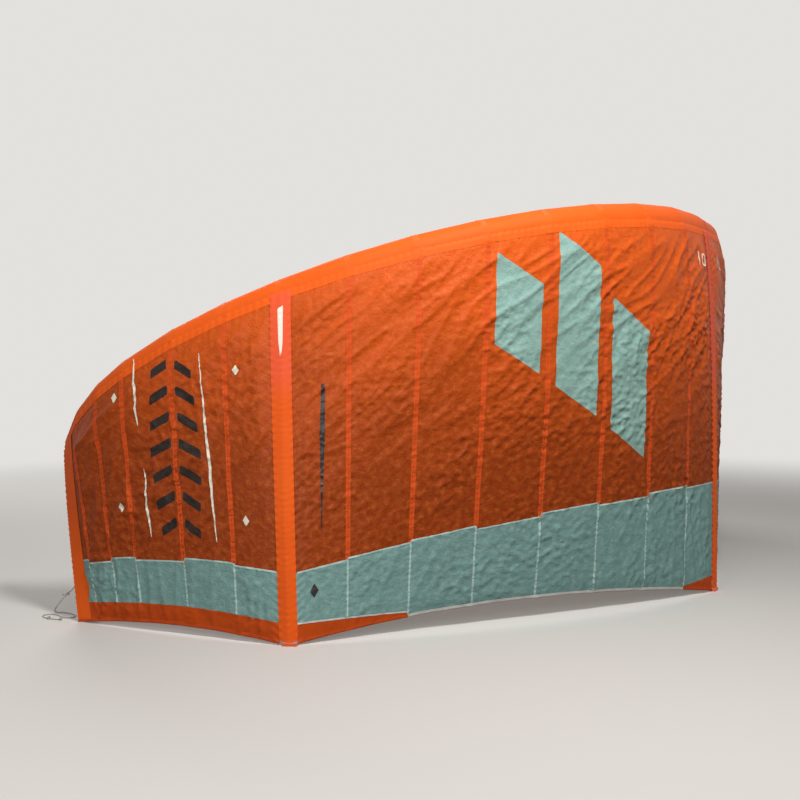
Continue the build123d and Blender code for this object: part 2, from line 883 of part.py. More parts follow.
# The ring hangs straight down from its bar.
ring_down = across(-up, leash_face.x_dir)
ring_hang = Plane(
    origin=leash_face.from_local_coords(Vector(0, 0, leash_loop_height)),
    x_dir=leash_face.x_dir,
    z_dir=leash_face.x_dir.cross(ring_down),
)
ring_corners = (
    (-leash_ring_half, 0),
    (leash_ring_half, 0),
    (leash_ring_half, leash_ring_reach),
    (-leash_ring_half, leash_ring_reach),
)
with BuildPart() as leash_ring:
    with BuildLine(ring_hang) as ring_line:
        FilletPolyline(*ring_corners, radius=leash_ring_bends, close=True)
    ring_wire = ring_line.wire()
    with BuildSketch(Plane(origin=ring_wire @ 0, z_dir=ring_wire % 0)):
        Circle(leash_ring_rod)
    sweep(path=ring_wire)
keep("leash_ring", [leash_ring.part])

# The rear line's tab stands on the last run of the tube, on the side away from the canopy.
tip_share = (axis[-2].Z - tip_tab_height) / (axis[-2].Z - axis[-1].Z)
tip_place = last_seam + tip_share
tip_out = across(Vector(0, 1, 0), runs[-1])
tip_face = Plane(
    origin=between(axis, tip_place) + tip_out * between(radii, tip_place),
    x_dir=runs[-1].cross(tip_out),
    z_dir=tip_out,
)
tip_body = tube(last_seam, tube_end, -seam_gap)
pigtail_radius = 2.5
tip_tab = webbing_loop(tip_face, tip_tab_opening, tip_tab_length, tip_tab_width, tip_body)
keep_pair("tip_tab", [tip_tab])

# --------------------------------------------------------- pigtail for the left rear line
# The line leaves the tab, falls to the floor behind the tip and lies there in a loose loop.
pigtail_route = [
    (-2065.4, 1000.5, 147.5),
    (-2074.5, 1022.8, 124.4),
    (-2086.2, 1046.5, 99.1),
    (-2094.4, 1072.2, 73.9),
    (-2100.6, 1093.9, 48.7),
    (-2101.3, 1113.6, 26.4),
    (-2092, 1130.4, 10),
    (-2070, 1128.4, 3),
    (-2055, 1104.4, 2.6),
    (-2053, 1072.4, 2.6),
    (-2058, 1042.4, 2.6),
    (-2067, 1016.4, 2.6),
    (-2087, 1000.4, 2.6),
    (-2109, 1006.4, 2.6),
    (-2118, 1030.4, 2.6),
    (-2113, 1059.4, 2.6),
    (-2104, 1088.4, 2.6),
    (-2103, 1117.4, 2.6),
    (-2114, 1139.4, 2.6),
    (-2137, 1145.4, 2.6),
    (-2156, 1130.4, 2.6),
    (-2164, 1102.4, 2.6),
    (-2165, 1071.4, 2.6),
    (-2160, 1041.4, 2.6),
    (-2150, 1013.4, 2.6),
]
knot_radius = 6.0
knot_tail = 30.0
knot_fillet = 3.6
knot_lift = 4.0              # of a knot's middle above the line's, on the floor
tail_aim = Vector(-0.35, 0.9, -0.25)
bend_share = 0.45            # of the shorter run beside a bend that its arc takes
route = [Vector(*point) for point in pigtail_route]
bend_radii = []
for before, corner, after in zip(route, route[1:], route[2:]):
    turn = (corner - before).get_angle(after - corner)
    shorter = min((corner - before).length, (after - corner).length)
    bend_radii.append(bend_share * shorter / tan(radians(turn / 2)))
print("pigtail radii", [round(radius, 1) for radius in bend_radii])
with BuildPart() as pigtail:
    with BuildLine() as pigtail_line:
        FilletPolyline(*route, radius=bend_radii)
    start_plane = Plane(origin=pigtail_line.line @ 0, z_dir=pigtail_line.line % 0)
    with BuildSketch(start_plane):
        Circle(pigtail_radius)
    sweep()
section = pi * pigtail_radius**2
print("pigtail length", pigtail_line.wire().length, pigtail.part.volume / section)
keep("left_pigtail", [pigtail.part])


def knot(place, along, tail=None):
    """Tight overhand knot on the line, with its tail where one sticks out."""
    with BuildPart() as piece:
        with BuildSketch(Plane(origin=place, z_dir=along)):
            Circle(knot_radius)
        extrude(amount=knot_radius, both=True)
        fillet(piece.edges(), knot_fillet)
        if tail:
            add(cylinder(Plane(origin=place, z_dir=tail), pigtail_radius, 0, knot_tail))
    return piece.part


knots = [
    knot(route[2], route[3] - route[1], tail_aim),
    knot(route[-3] + Vector(0, 0, knot_lift), route[-2] - route[-4]),
    knot(route[-1] + Vector(0, 0, knot_lift), route[-1] - route[-2]),
]
keep("left_pigtail_knots", knots)
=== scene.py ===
from math import cos, pi, radians, sin

import bpy
import numpy as np
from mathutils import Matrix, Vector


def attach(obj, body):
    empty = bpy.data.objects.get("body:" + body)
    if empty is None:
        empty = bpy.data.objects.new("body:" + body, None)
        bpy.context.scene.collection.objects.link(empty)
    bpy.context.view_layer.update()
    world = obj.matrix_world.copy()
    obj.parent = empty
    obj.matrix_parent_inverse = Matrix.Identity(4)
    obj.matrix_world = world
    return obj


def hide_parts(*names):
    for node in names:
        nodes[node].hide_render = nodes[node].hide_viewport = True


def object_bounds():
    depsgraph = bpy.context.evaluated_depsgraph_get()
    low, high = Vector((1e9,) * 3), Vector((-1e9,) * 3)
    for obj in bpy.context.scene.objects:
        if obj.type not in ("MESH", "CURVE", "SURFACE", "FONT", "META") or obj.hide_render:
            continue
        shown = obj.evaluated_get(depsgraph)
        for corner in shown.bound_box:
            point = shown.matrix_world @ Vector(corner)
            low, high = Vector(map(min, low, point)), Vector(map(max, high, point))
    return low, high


# An inflatable kitesurf kite standing on its trailing edge. X runs along the span, the outer
# face of the canopy looks to -Y and +Z runs up to the leading edge. All sizes are in metres.
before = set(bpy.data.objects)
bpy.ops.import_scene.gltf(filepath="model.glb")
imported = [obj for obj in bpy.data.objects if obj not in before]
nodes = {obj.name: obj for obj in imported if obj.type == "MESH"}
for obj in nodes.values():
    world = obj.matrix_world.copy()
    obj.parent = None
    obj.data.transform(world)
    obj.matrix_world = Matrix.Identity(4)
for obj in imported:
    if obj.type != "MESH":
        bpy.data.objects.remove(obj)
cad_box = [list(corner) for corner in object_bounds()]
body = "kite"

# -------------------------------------------------------------------------------- camera
camera_place = (-4.957, -2.573, 1.044)
camera_turn = -56.79         # degrees from looking along +Y
camera_lens = 45.0
camera_drop = -0.0275        # picture's middle below the level line, in picture widths

camera = bpy.data.objects.new("camera", bpy.data.cameras.new("camera"))
bpy.context.collection.objects.link(camera)
camera.location = camera_place
camera.rotation_euler = (radians(90), 0, radians(camera_turn))
camera.data.lens = camera_lens
camera.data.shift_y = camera_drop
bpy.context.scene.camera = camera

# ------------------------------------------------------------------ driving sizes of the kite
centre_panels = 8            # canopy panels from the centre strut to a side strut
tip_panels = 3
narrow_panels = 3
centre_panel_width = 0.2765
tip_panel_width = 0.23
narrow_panel_width = 0.141
centre_half_kink = 2.75      # degrees between the tube and X at the centre strut
centre_bend = 9.04           # degrees that the tube turns at the first seam
centre_bend_step = -0.31
tip_bend = 3.62
tip_bend_step = 1.84
tube_setback = 0.148
middle_of_depth = 1.1825     # of the kite, without its line, behind the centre strut's foot
kite_height = cad_box[1][2]
tip_height = 0.79
even_droop = 0.867
tip_droop_power = 11
tube_radius = 0.090
tube_tip_radius = 0.046
tube_end_radius = 0.033
tube_end_height = 0.046
tube_end_clearance = 0.014
camber_share = 0.017
camber_power = 0.48
seam_gap = 0.0003
side_foot_out = 1.940
side_foot_back = 1.100
tip_foot_out = 2.126
tip_foot_back = 2.105
centre_scallop = 0.086
tip_scallop = 0.033
foot_bulge = 0.100
seam_crowding = 0.02
tip_seam_share = 0.67
band_centre_height = 0.537
band_side_height = 0.278
band_tip_height = 0.248
band_fall = 1.5
patch_start = 13.86          # the tip's corner patch starts here, counted in seams
strut_band_width = 0.084
foot_pad_height = 0.014
hem_height = 0.012
last_seam = centre_panels + tip_panels + narrow_panels
tube_end = last_seam + 1
left, right = -1, 1
halves = {left: "left", right: "right"}


# --------------------------------------------------------------------- skeleton of the kite
def unit(vectors):
    """Vectors brought to a length of one."""
    return vectors / np.linalg.norm(vectors, axis=-1, keepdims=True)


def square_to(vectors, normals):
    """Directions turned square to normals."""
    return unit(vectors - normals * (vectors * normals).sum(-1, keepdims=True))


def trailing_edge(place):
    """Points of the left half's trailing edge at places counted in seams from the centre."""
    centre = np.array((0, -middle_of_depth, 0))
    side = np.array((-side_foot_out, side_foot_back - middle_of_depth, 0))
    tip = np.array((-tip_foot_out, tip_foot_back - middle_of_depth, 0))
    up = np.array((0, 0, 1.0))
    outward = np.cross(up, unit(side - centre))
    even = np.clip(place / centre_panels, 0, 1)[..., None]
    share = even - seam_crowding * np.sin(2 * pi * even)
    rise = centre_scallop * 4 * share * (1 - share)
    stand = foot_bulge * np.sin(pi * share) * (1 - share)
    inner = centre + (side - centre) * share + outward * stand + up * rise
    full = np.clip((place - centre_panels) / tip_panels, 0, 1)
    narrow = np.clip((place - centre_panels - tip_panels) / narrow_panels, 0, 1)
    tip_share = (tip_seam_share * full + (1 - tip_seam_share) * narrow)[..., None]
    tip_rise = tip_scallop * 4 * tip_share * (1 - tip_share)
    outer = side + (tip - side) * tip_share + up * tip_rise
    return np.where(place[..., None] <= centre_panels, inner, outer)


panel_widths = np.array(
    [centre_panel_width] * centre_panels
    + [tip_panel_width] * tip_panels
    + [narrow_panel_width] * narrow_panels
)
half_span = panel_widths.sum()
seam_runs = np.concatenate(([0.0], np.cumsum(panel_widths)))
span_shares = seam_runs / half_span
radii = tube_radius + (tube_tip_radius - tube_radius) * span_shares
bends = [centre_bend + centre_bend_step * seam for seam in range(centre_panels - 1)]
bends += [tip_bend + tip_bend_step * seam for seam in range(last_seam - centre_panels)]
headings = np.radians(centre_half_kink + np.concatenate(([0.0], np.cumsum(bends))))
axis = np.zeros((last_seam + 2, 3))
axis[1:-1, 0] = -np.cumsum(panel_widths * np.cos(headings))
axis[1:-1, 1] = np.cumsum(panel_widths * np.sin(headings))
axis[:-1, 1] += tube_setback - middle_of_depth
droop = even_droop * span_shares**2 + (1 - even_droop) * span_shares**tip_droop_power
axis[:-1, 2] = kite_height - (kite_height - tip_height) * droop - radii
tip_corner = trailing_edge(np.array([float(last_seam)]))[0]
tip_outward = unit(np.cross((0, 0, 1.0), axis[-2] - axis[-3]))
axis[-1] = tip_corner - tip_outward * (tube_end_radius + tube_end_clearance)
axis[-1, 2] += tube_end_height
radii = np.append(radii, tube_end_radius)

runs = unit(np.diff(axis, axis=0))
mitres = np.concatenate(([(-1.0, 0, 0)], unit(runs[:-1] + runs[1:]), runs[-1:]))
outwards = unit(np.cross((0, 0, 1.0), mitres[:-1]))
outwards = np.concatenate((outwards, square_to(outwards[-1:], mitres[-1:])))
crowns = np.cross(mitres, outwards)
tops = (axis + outwards * (radii + seam_gap)[:, None])[:-1]


def along(values, place):
    """Values given at each seam, read at places between seams."""
    low = np.clip(place.astype(int), 0, len(values) - 2)
    share = place - low
    if values.ndim > 1:
        share = share[..., None]
    return values[low] * (1 - share) + values[low + 1] * share


def run_at(place):
    """Metres along the tube from the centre, at places counted in seams."""
    return np.interp(place, np.arange(last_seam + 1), seam_runs)


def place_at(run):
    """Places counted in seams, at metres along the tube from the centre."""
    return np.interp(run, seam_runs, np.arange(last_seam + 1))


def chord_length(place):
    """Straight height of the canopy from the trailing edge to the tube."""
    return np.linalg.norm(along(tops, place) - trailing_edge(place), axis=-1)


def camber(height, chord):
    """How far the canopy stands outside its chord line."""
    share = np.clip(1 - height / chord, 0, 1)
    peak = camber_power / (1 + camber_power)
    return camber_share * chord * share**camber_power * (1 - share) / (
        peak**camber_power * (1 - peak)
    )


def canopy_point(place, height, lift):
    """Points of the left canopy, lifted off it along the outward direction."""
    foot = trailing_edge(place)
    chord = along(tops, place) - foot
    length = np.linalg.norm(chord, axis=-1)
    climb = unit(chord)
    outward = square_to(along(outwards, place), climb)
    stand = camber(height, length) + lift
    return foot + climb * height[..., None] + outward * stand[..., None]


def tube_point(place, angle, lift):
    """Points of the left tube. Angle 0 looks outward, and a quarter turn is its crown."""
    reach = (along(radii, place) + lift)[..., None]
    around = along(outwards, place) * np.cos(angle)[..., None]
    around = around + along(crowns, place) * np.sin(angle)[..., None]
    return along(axis, place) + around * reach


def band_top(place):
    """Height of the edge band above the trailing edge."""
    fall = np.clip(1 - place / centre_panels, 0, 1) ** band_fall
    inner = band_side_height + (band_centre_height - band_side_height) * fall
    share = np.clip((place - centre_panels) / (tip_panels + narrow_panels), 0, 1)
    outer = band_side_height + (band_tip_height - band_side_height) * share
    return np.where(place <= centre_panels, inner, outer)


# ------------------------------------------------------------------------ folds of the cloth
def hashed(column, row, seed):
    """A steady scattered number from 0 to 1 for each cell of a lattice."""
    mixed = (column * 374761393 + row * 668265263 + seed * 974634777) & 0xFFFFFFFF
    mixed = ((mixed ^ (mixed >> 13)) * 1274126177) & 0xFFFFFFFF
    return ((mixed ^ (mixed >> 16)) & 0xFFFF) / 0xFFFF


def waves(x, y, seed):
    """Smooth noise between -1 and 1 with features one unit across."""
    column, row = np.floor(x).astype(np.int64), np.floor(y).astype(np.int64)
    across, upward = x - column, y - row
    ease = lambda share: share**3 * (share * (share * 6 - 15) + 10)
    total = 0.0
    for i in (0, 1):
        for j in (0, 1):
            angle = 2 * pi * hashed(column + i, row + j, seed)
            slope = np.cos(angle) * (across - i) + np.sin(angle) * (upward - j)
            weight = (ease(across) if i else 1 - ease(across)) * (
                ease(upward) if j else 1 - ease(upward)
            )
            total = total + weight * slope
    return total * 1.4


def creases(x, y, seed):
    """Sharp-crested noise from 0 to 1, as in cloth that has been folded."""
    return (1 - np.minimum(np.abs(waves(x, y, seed)) * 2.2, 1)) ** 2


def edge_fade(distance, reach):
    """One at an edge, falling to nothing at a distance."""
    return np.clip(1 - distance / reach, 0, 1) ** 2


sleeve_width = 0.088         # of the tube's sleeve down the wing tip
seam_pucker_reach = 0.035
seam_pucker_length = 0.021
strut_pucker_length = 0.032
tube_pucker_length = 0.030
puff_height = 0.0045         # of a panel between two seams, when the kite holds air
fold_height = 0.030          # of the long folds that slant down from the tube
crest_height = 0.0120        # of the sharp crests on them
thin_height = 0.0060         # of thin creases along them
hanging_height = 0.0042      # of creases that hang down the lower cloth
crumple_heights = (0.0046, 0.0036, 0.0020)
handled_heights = (0.0052, 0.0044)  # of crumples where the cloth is handled most
seam_gather = 0.0017
strut_gather = 0.0020
tube_gather = 0.0012
flutter_height = 0.0050      # of the trailing edge between two struts


def folds(place, height, side):
    """Lift of the cloth by its folds, creases and puckers."""
    seed = 5 if side == left else 41
    run = run_at(place)
    chord = chord_length(place)
    share = height / chord
    panel = along(np.append(panel_widths, panel_widths[-1]), np.floor(place))
    inside = place - np.floor(place)
    to_seam = np.minimum(inside, 1 - inside) * panel
    beside = np.minimum(run, np.abs(run - seam_runs[centre_panels])) - strut_band_width / 2
    to_strut = np.maximum(beside, 0)
    to_tube = np.maximum(chord - height, 0)

    puff = puff_height * np.clip(4 * inside * (1 - inside), 0, 1) * np.clip(share * 6, 0, 1)
    lean = np.where(run < seam_runs[centre_panels], 0.86, 0.62)
    drift = 0.07 * waves(run * 1.9, height * 1.9, seed)
    across = run * np.cos(lean) + height * np.sin(lean) + drift
    down = height * np.cos(lean) - run * np.sin(lean)
    tip = run > seam_runs[centre_panels]
    high = np.where(tip, np.clip((share - 0.16) * 2.6, 0, 1), np.clip((share - 0.34) * 2.6, 0, 1))
    slack = high * (0.60 + 0.45 * waves(run * 1.3, height * 1.3, seed + 11))
    slack = slack * np.where(tip, 1.0, 0.45)
    long_folds = fold_height * slack * waves(across * 7.0, down * 1.2, seed + 1)
    long_folds += crest_height * slack * creases(across * 8.5, down * 1.3, seed + 12)
    thin_folds = thin_height * (0.22 + 0.78 * high) * creases(
        across * 13, down * 3.0, seed + 2
    )
    hanging = hanging_height * np.clip(1.15 - share * 1.4, 0, 1) * creases(
        run * 12 + drift * 20, height * 1.6, seed + 3
    )
    crumple = np.clip(0.60 + 0.9 * waves(run * 3.1, height * 3.1, seed + 4), 0.15, 1.3)
    broad, small, fine = crumple_heights
    rough = broad * crumple * creases(run * 13 + height * 4, height * 11, seed + 5)
    rough += small * crumple * creases(run * 24 - height * 11, height * 26, seed + 6)
    rough += fine * crumple * waves(run * 40, height * 40, seed + 7)
    handled = np.clip(0.35 + 1.5 * waves(run * 2.2, height * 2.2, seed + 13), 0, 1.2)
    handled = handled * np.clip(share * 4 - 0.8, 0.25, 1) * np.clip(4 - share * 4, 0.25, 1)
    one, other = handled_heights
    rough += one * handled * creases(run * 15 + height * 8, height * 14 - run * 6, seed + 14)
    rough += other * handled * creases(run * 12 - height * 17, height * 18 + run * 9, seed + 15)

    wave = np.cos(2 * pi * height / seam_pucker_length + 5 * waves(height * 9, place, seed + 8))
    gather = seam_gather * edge_fade(to_seam, seam_pucker_reach) * wave
    strut_wave = np.cos(2 * pi * (height - 0.55 * to_strut) / strut_pucker_length)
    from_band = np.where(beside < 0, -5 * beside, beside)
    gather += strut_gather * edge_fade(from_band, 0.10) * strut_wave
    tube_wave = 2 * pi * run / tube_pucker_length + 3 * waves(run * 7, share, seed + 9)
    gather += tube_gather * edge_fade(to_tube, 0.16) * np.cos(tube_wave)
    flutter = flutter_height * edge_fade(height, 0.16) * waves(run * 6, height * 3, seed + 10)
    flutter *= np.clip(to_strut / 0.12, 0, 1)

    held = np.clip(to_strut / 0.05, 0, 1) * np.clip((to_tube - 0.02) / 0.10, 0, 1)
    held = held * np.clip((seam_runs[-1] - sleeve_width - run) / 0.05, 0, 1)
    loose = np.clip(height / 0.05, 0, 1)
    return (puff + long_folds + thin_folds + hanging + rough) * held * loose + gather + flutter


# ---------------------------------------------------------------------------- mesh of a cloth
cloth_step = 0.0075


def woven_mesh(name, grids, finish, reverse, closed=False):
    """A piece made of grids of points, each with its UV map in metres on the cloth."""
    points, faces, corners, first, flat, start = [], [], [], 0, [], 0
    for spots, metres in grids:
        rows, columns = spots.shape[:2]
        grid = first + np.arange(rows * columns).reshape(rows, columns)
        if closed:
            grid = np.concatenate((grid, grid[:, :1]), axis=1)
            last = 2 * metres[:, -1:] - metres[:, -2:-1]
            metres = np.concatenate((metres, last), axis=1)
        width = grid.shape[1]
        places = start + np.arange(rows * width).reshape(rows, width)
        for table, kept in ((grid, faces), (places, corners)):
            order = (table[:-1, :-1], table[:-1, 1:], table[1:, 1:], table[1:, :-1])
            if reverse:
                order = order[::-1]
            kept.append(np.stack(order, axis=-1).reshape(-1, 4))
        points.append(spots.reshape(-1, 3))
        flat.append(metres.reshape(-1, 2))
        first += rows * columns
        start += rows * width
    mesh = bpy.data.meshes.new(name)
    mesh.from_pydata(np.concatenate(points).tolist(), [], np.concatenate(faces).tolist())
    uv_map = mesh.uv_layers.new(name="cloth")
    spread = np.concatenate(flat)[np.concatenate(corners).reshape(-1)]
    uv_map.data.foreach_set("uv", spread.astype(np.float32).reshape(-1))
    mesh.polygons.foreach_set("use_smooth", [True] * len(mesh.polygons))
    mesh.materials.append(finish)
    piece = bpy.data.objects.new(name, mesh)
    bpy.context.collection.objects.link(piece)
    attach(piece, body)
    return piece


def depth_inside(flat, outline):
    """How far points of the flat cloth lie inside an outline; negative outside it."""
    corners = np.array(outline, float)
    nearest = np.full(len(flat), np.inf)
    inside = np.zeros(len(flat), bool)
    for here, there in zip(corners, np.roll(corners, -1, axis=0)):
        edge = there - here
        share = np.clip((flat - here) @ edge / (edge @ edge), 0, 1)
        nearest = np.minimum(nearest, np.linalg.norm(flat - here - share[:, None] * edge, axis=1))
        if here[1] != there[1]:
            level = (flat[:, 1] - here[1]) / (there[1] - here[1])
            meets = (flat[:, 0] < here[0] + level * edge[0]) & (level >= 0) & (level < 1)
            inside ^= meets
    return np.where(inside, nearest, -nearest)


def inlaid(piece, flat, shapes):
    """Keeps, for each dyed or sewn-in colour, how deep each point of the cloth lies in it."""
    for name, outlines in shapes.items():
        depth = np.max([depth_inside(flat, outline) for outline in outlines], axis=0)
        table = piece.data.attributes.new(name, "FLOAT", "POINT")
        table.data.foreach_set("value", depth.astype(np.float32))


def mirrored(points, side):
    """The left half's points, or their mirror image for the right half."""
    return points * np.array((1.0 if side == left else -1.0, 1, 1))


def grid_of(start, end, low, high, step=cloth_step):
    """Places and heights of a cloth's grid, between two edges given as functions."""
    span = run_at((start, end))
    columns = max(int((span[1] - span[0]) / step) + 1, 3)
    middle = np.array([(start + end) / 2])
    rows = max(int((high(middle) - low(middle))[0] / step) + 1, 3)
    run = np.linspace(span[0], span[1], columns)
    place = np.broadcast_to(place_at(run), (rows, columns))
    share = np.linspace(0, 1, rows)[:, None]
    height = low(place) + (high(place) - low(place)) * share
    return place, height


def cloth(name, side, start, end, low, high, lift, finish, shapes=()):
    """A sheet of cloth on the canopy's surface, with the canopy's folds."""
    place, height = grid_of(start, end, low, high)
    points = canopy_point(place, height, folds(place, height, side) + lift)
    metres = np.stack((run_at(place), height), axis=-1)
    piece = woven_mesh(name, [(mirrored(points, side), metres)], finish, side == left)
    inlaid(piece, metres.reshape(-1, 2), dict(shapes))
    width = np.linalg.norm(np.diff(points[0], axis=0), axis=-1).sum()
    width += np.linalg.norm(np.diff(points[-1], axis=0), axis=-1).sum()
    tall = float((high(place[0]) - low(place[0])).mean())
    return piece, (float(width / 2), tall)


# ------------------------------------------------------------------------------- materials
maths, mix, remap = "ShaderNodeMath", "ShaderNodeMix", "ShaderNodeMapRange"
noise, coordinates = "ShaderNodeTexNoise", "ShaderNodeTexCoord"
mixed = 2                    # output of a mix node that holds its colour
inlay_edge = (0.00024, 0.00144)  # depths between which a colour's edge softens
ripstop_spacing = 0.010      # real squares are 5 mm; drawn coarser so that they show
ripstop_thread = 0.0007
painted_shade_heights = (0.80, 1.95)  # heights between which the painted shade low on the cloth gives way to the full colour
weave_spacing = 0.003        # real threads are 0.4 mm apart; drawn coarser so that they show
tint_start = 0.93            # the side bands' second layer starts this far up the strut
tint_end = 1.09
stitch_length = 0.009
stitch_width = 0.0022


def colour(hex_value):
    """An sRGB hex colour as linear values, with full alpha."""
    parts = [int(hex_value[i : i + 2], 16) / 255 for i in (1, 3, 5)]
    linear = [c / 12.92 if c <= 0.04045 else ((c + 0.055) / 1.055) ** 2.4 for c in parts]
    return (*linear, 1.0)


def add_node(tree, kind, inputs=(), output=0, **settings):
    """Adds a node with settings, and with inputs that are values or outputs of other nodes."""
    made = tree.nodes.new(kind)
    for key, value in settings.items():
        setattr(made, key, value)
    for socket, value in dict(inputs).items():
        if isinstance(value, bpy.types.NodeSocket):
            tree.links.new(made.inputs[socket], value)
        else:
            made.inputs[socket].default_value = value
    return made.outputs[output]


def material(name, base, roughness, **settings):
    """A surface with its shader's plain settings, its node tree and its shader."""
    made = bpy.data.materials.new(name)
    made.use_nodes = True
    shader = made.node_tree.nodes["Principled BSDF"]
    shader.inputs["Base Color"].default_value = colour(base)
    shader.inputs["Roughness"].default_value = roughness
    for key, value in settings.items():
        shader.inputs[key.replace("_", " ")].default_value = value
    return made, made.node_tree, shader


def bumped(tree, shader, height, strength, distance):
    """Gives a surface relief."""
    relief = {"Height": height, "Strength": strength, "Distance": distance}
    tree.links.new(shader.inputs["Normal"], add_node(tree, "ShaderNodeBump", relief))


def cloth_metres(tree):
    """The UV map's metres along and up the cloth."""
    source = add_node(tree, "ShaderNodeUVMap", uv_map="cloth")
    run = add_node(tree, "ShaderNodeSeparateXYZ", {0: source}, "X")
    height = add_node(tree, "ShaderNodeSeparateXYZ", {0: source}, "Y")
    return source, run, height


def thread_lines(tree, run, spacing, width):
    """Narrow lines square to a direction, one each spacing."""
    wave = add_node(tree, maths, {0: run, 1: spacing / 2}, operation="PINGPONG")
    reach = {"Value": wave, "From Max": width, "To Min": 1.0, "To Max": 0.0}
    return add_node(tree, remap, reach, interpolation_type="SMOOTHSTEP")


def inlays(tree, tone, colours):
    """Lays further colours on a cloth where its attributes say that they are."""
    low, high = inlay_edge
    for name, inlay in colours.items():
        depth = add_node(tree, "ShaderNodeAttribute", (), "Fac", attribute_name=name)
        share = add_node(tree, remap, {"Value": depth, "From Min": low, "From Max": high})
        tone = add_node(tree, mix, {0: share, 6: tone, 7: inlay}, mixed, data_type="RGBA")
    return tone


def ripstop(name, base, deep, pale, sheen_tint, inlaid_colours):
    """Coated ripstop: thin crisp cloth with a grid of stronger threads and a waxy gloss.

    The coating gives soft highlights on each crease. Painted shade: the colour is darker towards
    the foot and brighter higher up, by height, and it changes in patches where the coating is
    worn.
    """
    made, tree, shader = material(
        name, base, 0.42, Sheen_Weight=0.02, Coat_Weight=0.02, Coat_Roughness=0.4,
        Specular_IOR_Level=0.15, Sheen_Tint=colour(sheen_tint),
    )
    base, deep, pale = colour(base), colour(deep), colour(pale)
    vector, run, height = cloth_metres(tree)
    place = add_node(tree, coordinates, (), "Object")
    up = add_node(tree, "ShaderNodeSeparateXYZ", {0: place}, "Z")
    # Painted shade by height: object Z, with some noise, picks the deep colour low on the canopy
    # and the base colour up high, as if lit from above.
    cloud = add_node(tree, noise, {"Vector": vector, "Scale": 2.6, "Detail": 5.0})
    cloud = add_node(tree, maths, {0: cloud, 1: 0.55, 2: up}, operation="MULTIPLY_ADD")
    low, high = painted_shade_heights
    painted_light_share = {"Value": cloud, "From Min": low, "From Max": high}
    painted_light_share = add_node(tree, remap, painted_light_share, interpolation_type="SMOOTHSTEP")
    tone = add_node(tree, mix, {0: painted_light_share, 6: deep, 7: base}, mixed, data_type="RGBA")
    worn = add_node(tree, noise, {"Vector": vector, "Scale": 38.0, "Detail": 6.0})
    worn = add_node(tree, maths, {0: worn, 1: 3.5}, operation="POWER")
    tone = add_node(tree, mix, {0: worn, 6: tone, 7: pale}, mixed, data_type="RGBA")
    threads = {
        way: thread_lines(tree, source, ripstop_spacing, ripstop_thread)
        for way, source in enumerate((run, height))
    }
    grid = add_node(tree, maths, threads, operation="MAXIMUM")
    faint = add_node(tree, maths, {0: grid, 1: 0.16}, operation="MULTIPLY")
    tone = add_node(tree, mix, {0: faint, 6: tone, 7: deep}, mixed, data_type="RGBA")
    mottled = {}
    for shape, (dyed, rubbed) in inlaid_colours.items():
        tones = {0: worn, 6: colour(dyed), 7: colour(rubbed)}
        mottled[shape] = add_node(tree, mix, tones, mixed, data_type="RGBA")
    tree.links.new(shader.inputs["Base Color"], inlays(tree, tone, mottled))
    fine = {"Vector": vector, "Scale": 85.0, "Detail": 6.0, "Distortion": 1.2}
    fine = add_node(tree, noise, fine)
    crack = add_node(tree, "ShaderNodeTexVoronoi", {"Vector": vector, "Scale": 46.0},
                     "Distance", feature="DISTANCE_TO_EDGE")
    folded = add_node(tree, maths, {0: crack, 1: 0.18}, operation="MINIMUM")
    relief = add_node(tree, maths, {0: folded, 1: 1.1, 2: fine}, operation="MULTIPLY_ADD")
    relief = add_node(tree, maths, {0: grid, 1: 0.10, 2: relief}, operation="MULTIPLY_ADD")
    bumped(tree, shader, relief, 1.0, 0.0024)
    rough = add_node(tree, maths, {0: worn, 1: 0.35, 2: 0.40}, operation="MULTIPLY_ADD")
    tree.links.new(shader.inputs["Roughness"], rough)
    return made


def woven_polyester(name, base, deep, tint=None, inlaid_colours=()):
    """Heavy woven polyester: a close flat weave, firm and matt, a little paler on its ridges.

    A tint gives the colour that shows through where a second layer lies behind.
    """
    made, tree, shader = material(name, base, 0.6, Sheen_Weight=0.04, Specular_IOR_Level=0.15)
    base, deep = colour(base), colour(deep)
    vector, run, height = cloth_metres(tree)
    cloud = add_node(tree, noise, {"Vector": vector, "Scale": 7.0, "Detail": 4.0})
    tone = add_node(tree, mix, {0: cloud, 6: deep, 7: base}, mixed, data_type="RGBA")
    if tint:
        band = {"Value": height, "From Min": tint_start, "From Max": tint_end}
        band = add_node(tree, remap, band, interpolation_type="SMOOTHSTEP")
        tones = {0: band, 6: tone, 7: colour(tint)}
        tone = add_node(tree, mix, tones, mixed, data_type="RGBA")
    ridges = {}
    for way, source in enumerate((run, height)):
        turn = add_node(tree, maths, {0: source, 1: 2 * pi / weave_spacing},
                        operation="MULTIPLY")
        ridges[way] = add_node(tree, maths, {0: turn}, operation="SINE")
    weave = add_node(tree, maths, ridges, operation="MULTIPLY")
    shade = add_node(tree, maths, {0: weave, 1: 0.06, 2: 0.06}, operation="MULTIPLY_ADD")
    tone = add_node(tree, mix, {0: shade, 6: tone, 7: deep}, mixed, data_type="RGBA")
    dyed = {shape: colour(inlay) for shape, inlay in dict(inlaid_colours).items()}
    tree.links.new(shader.inputs["Base Color"], inlays(tree, tone, dyed))
    cloud = add_node(tree, noise, {"Vector": vector, "Scale": 60.0, "Detail": 5.0})
    relief = add_node(tree, maths, {0: weave, 1: 0.12, 2: cloud}, operation="MULTIPLY_ADD")
    bumped(tree, shader, relief, 0.35, 0.0012)
    return made


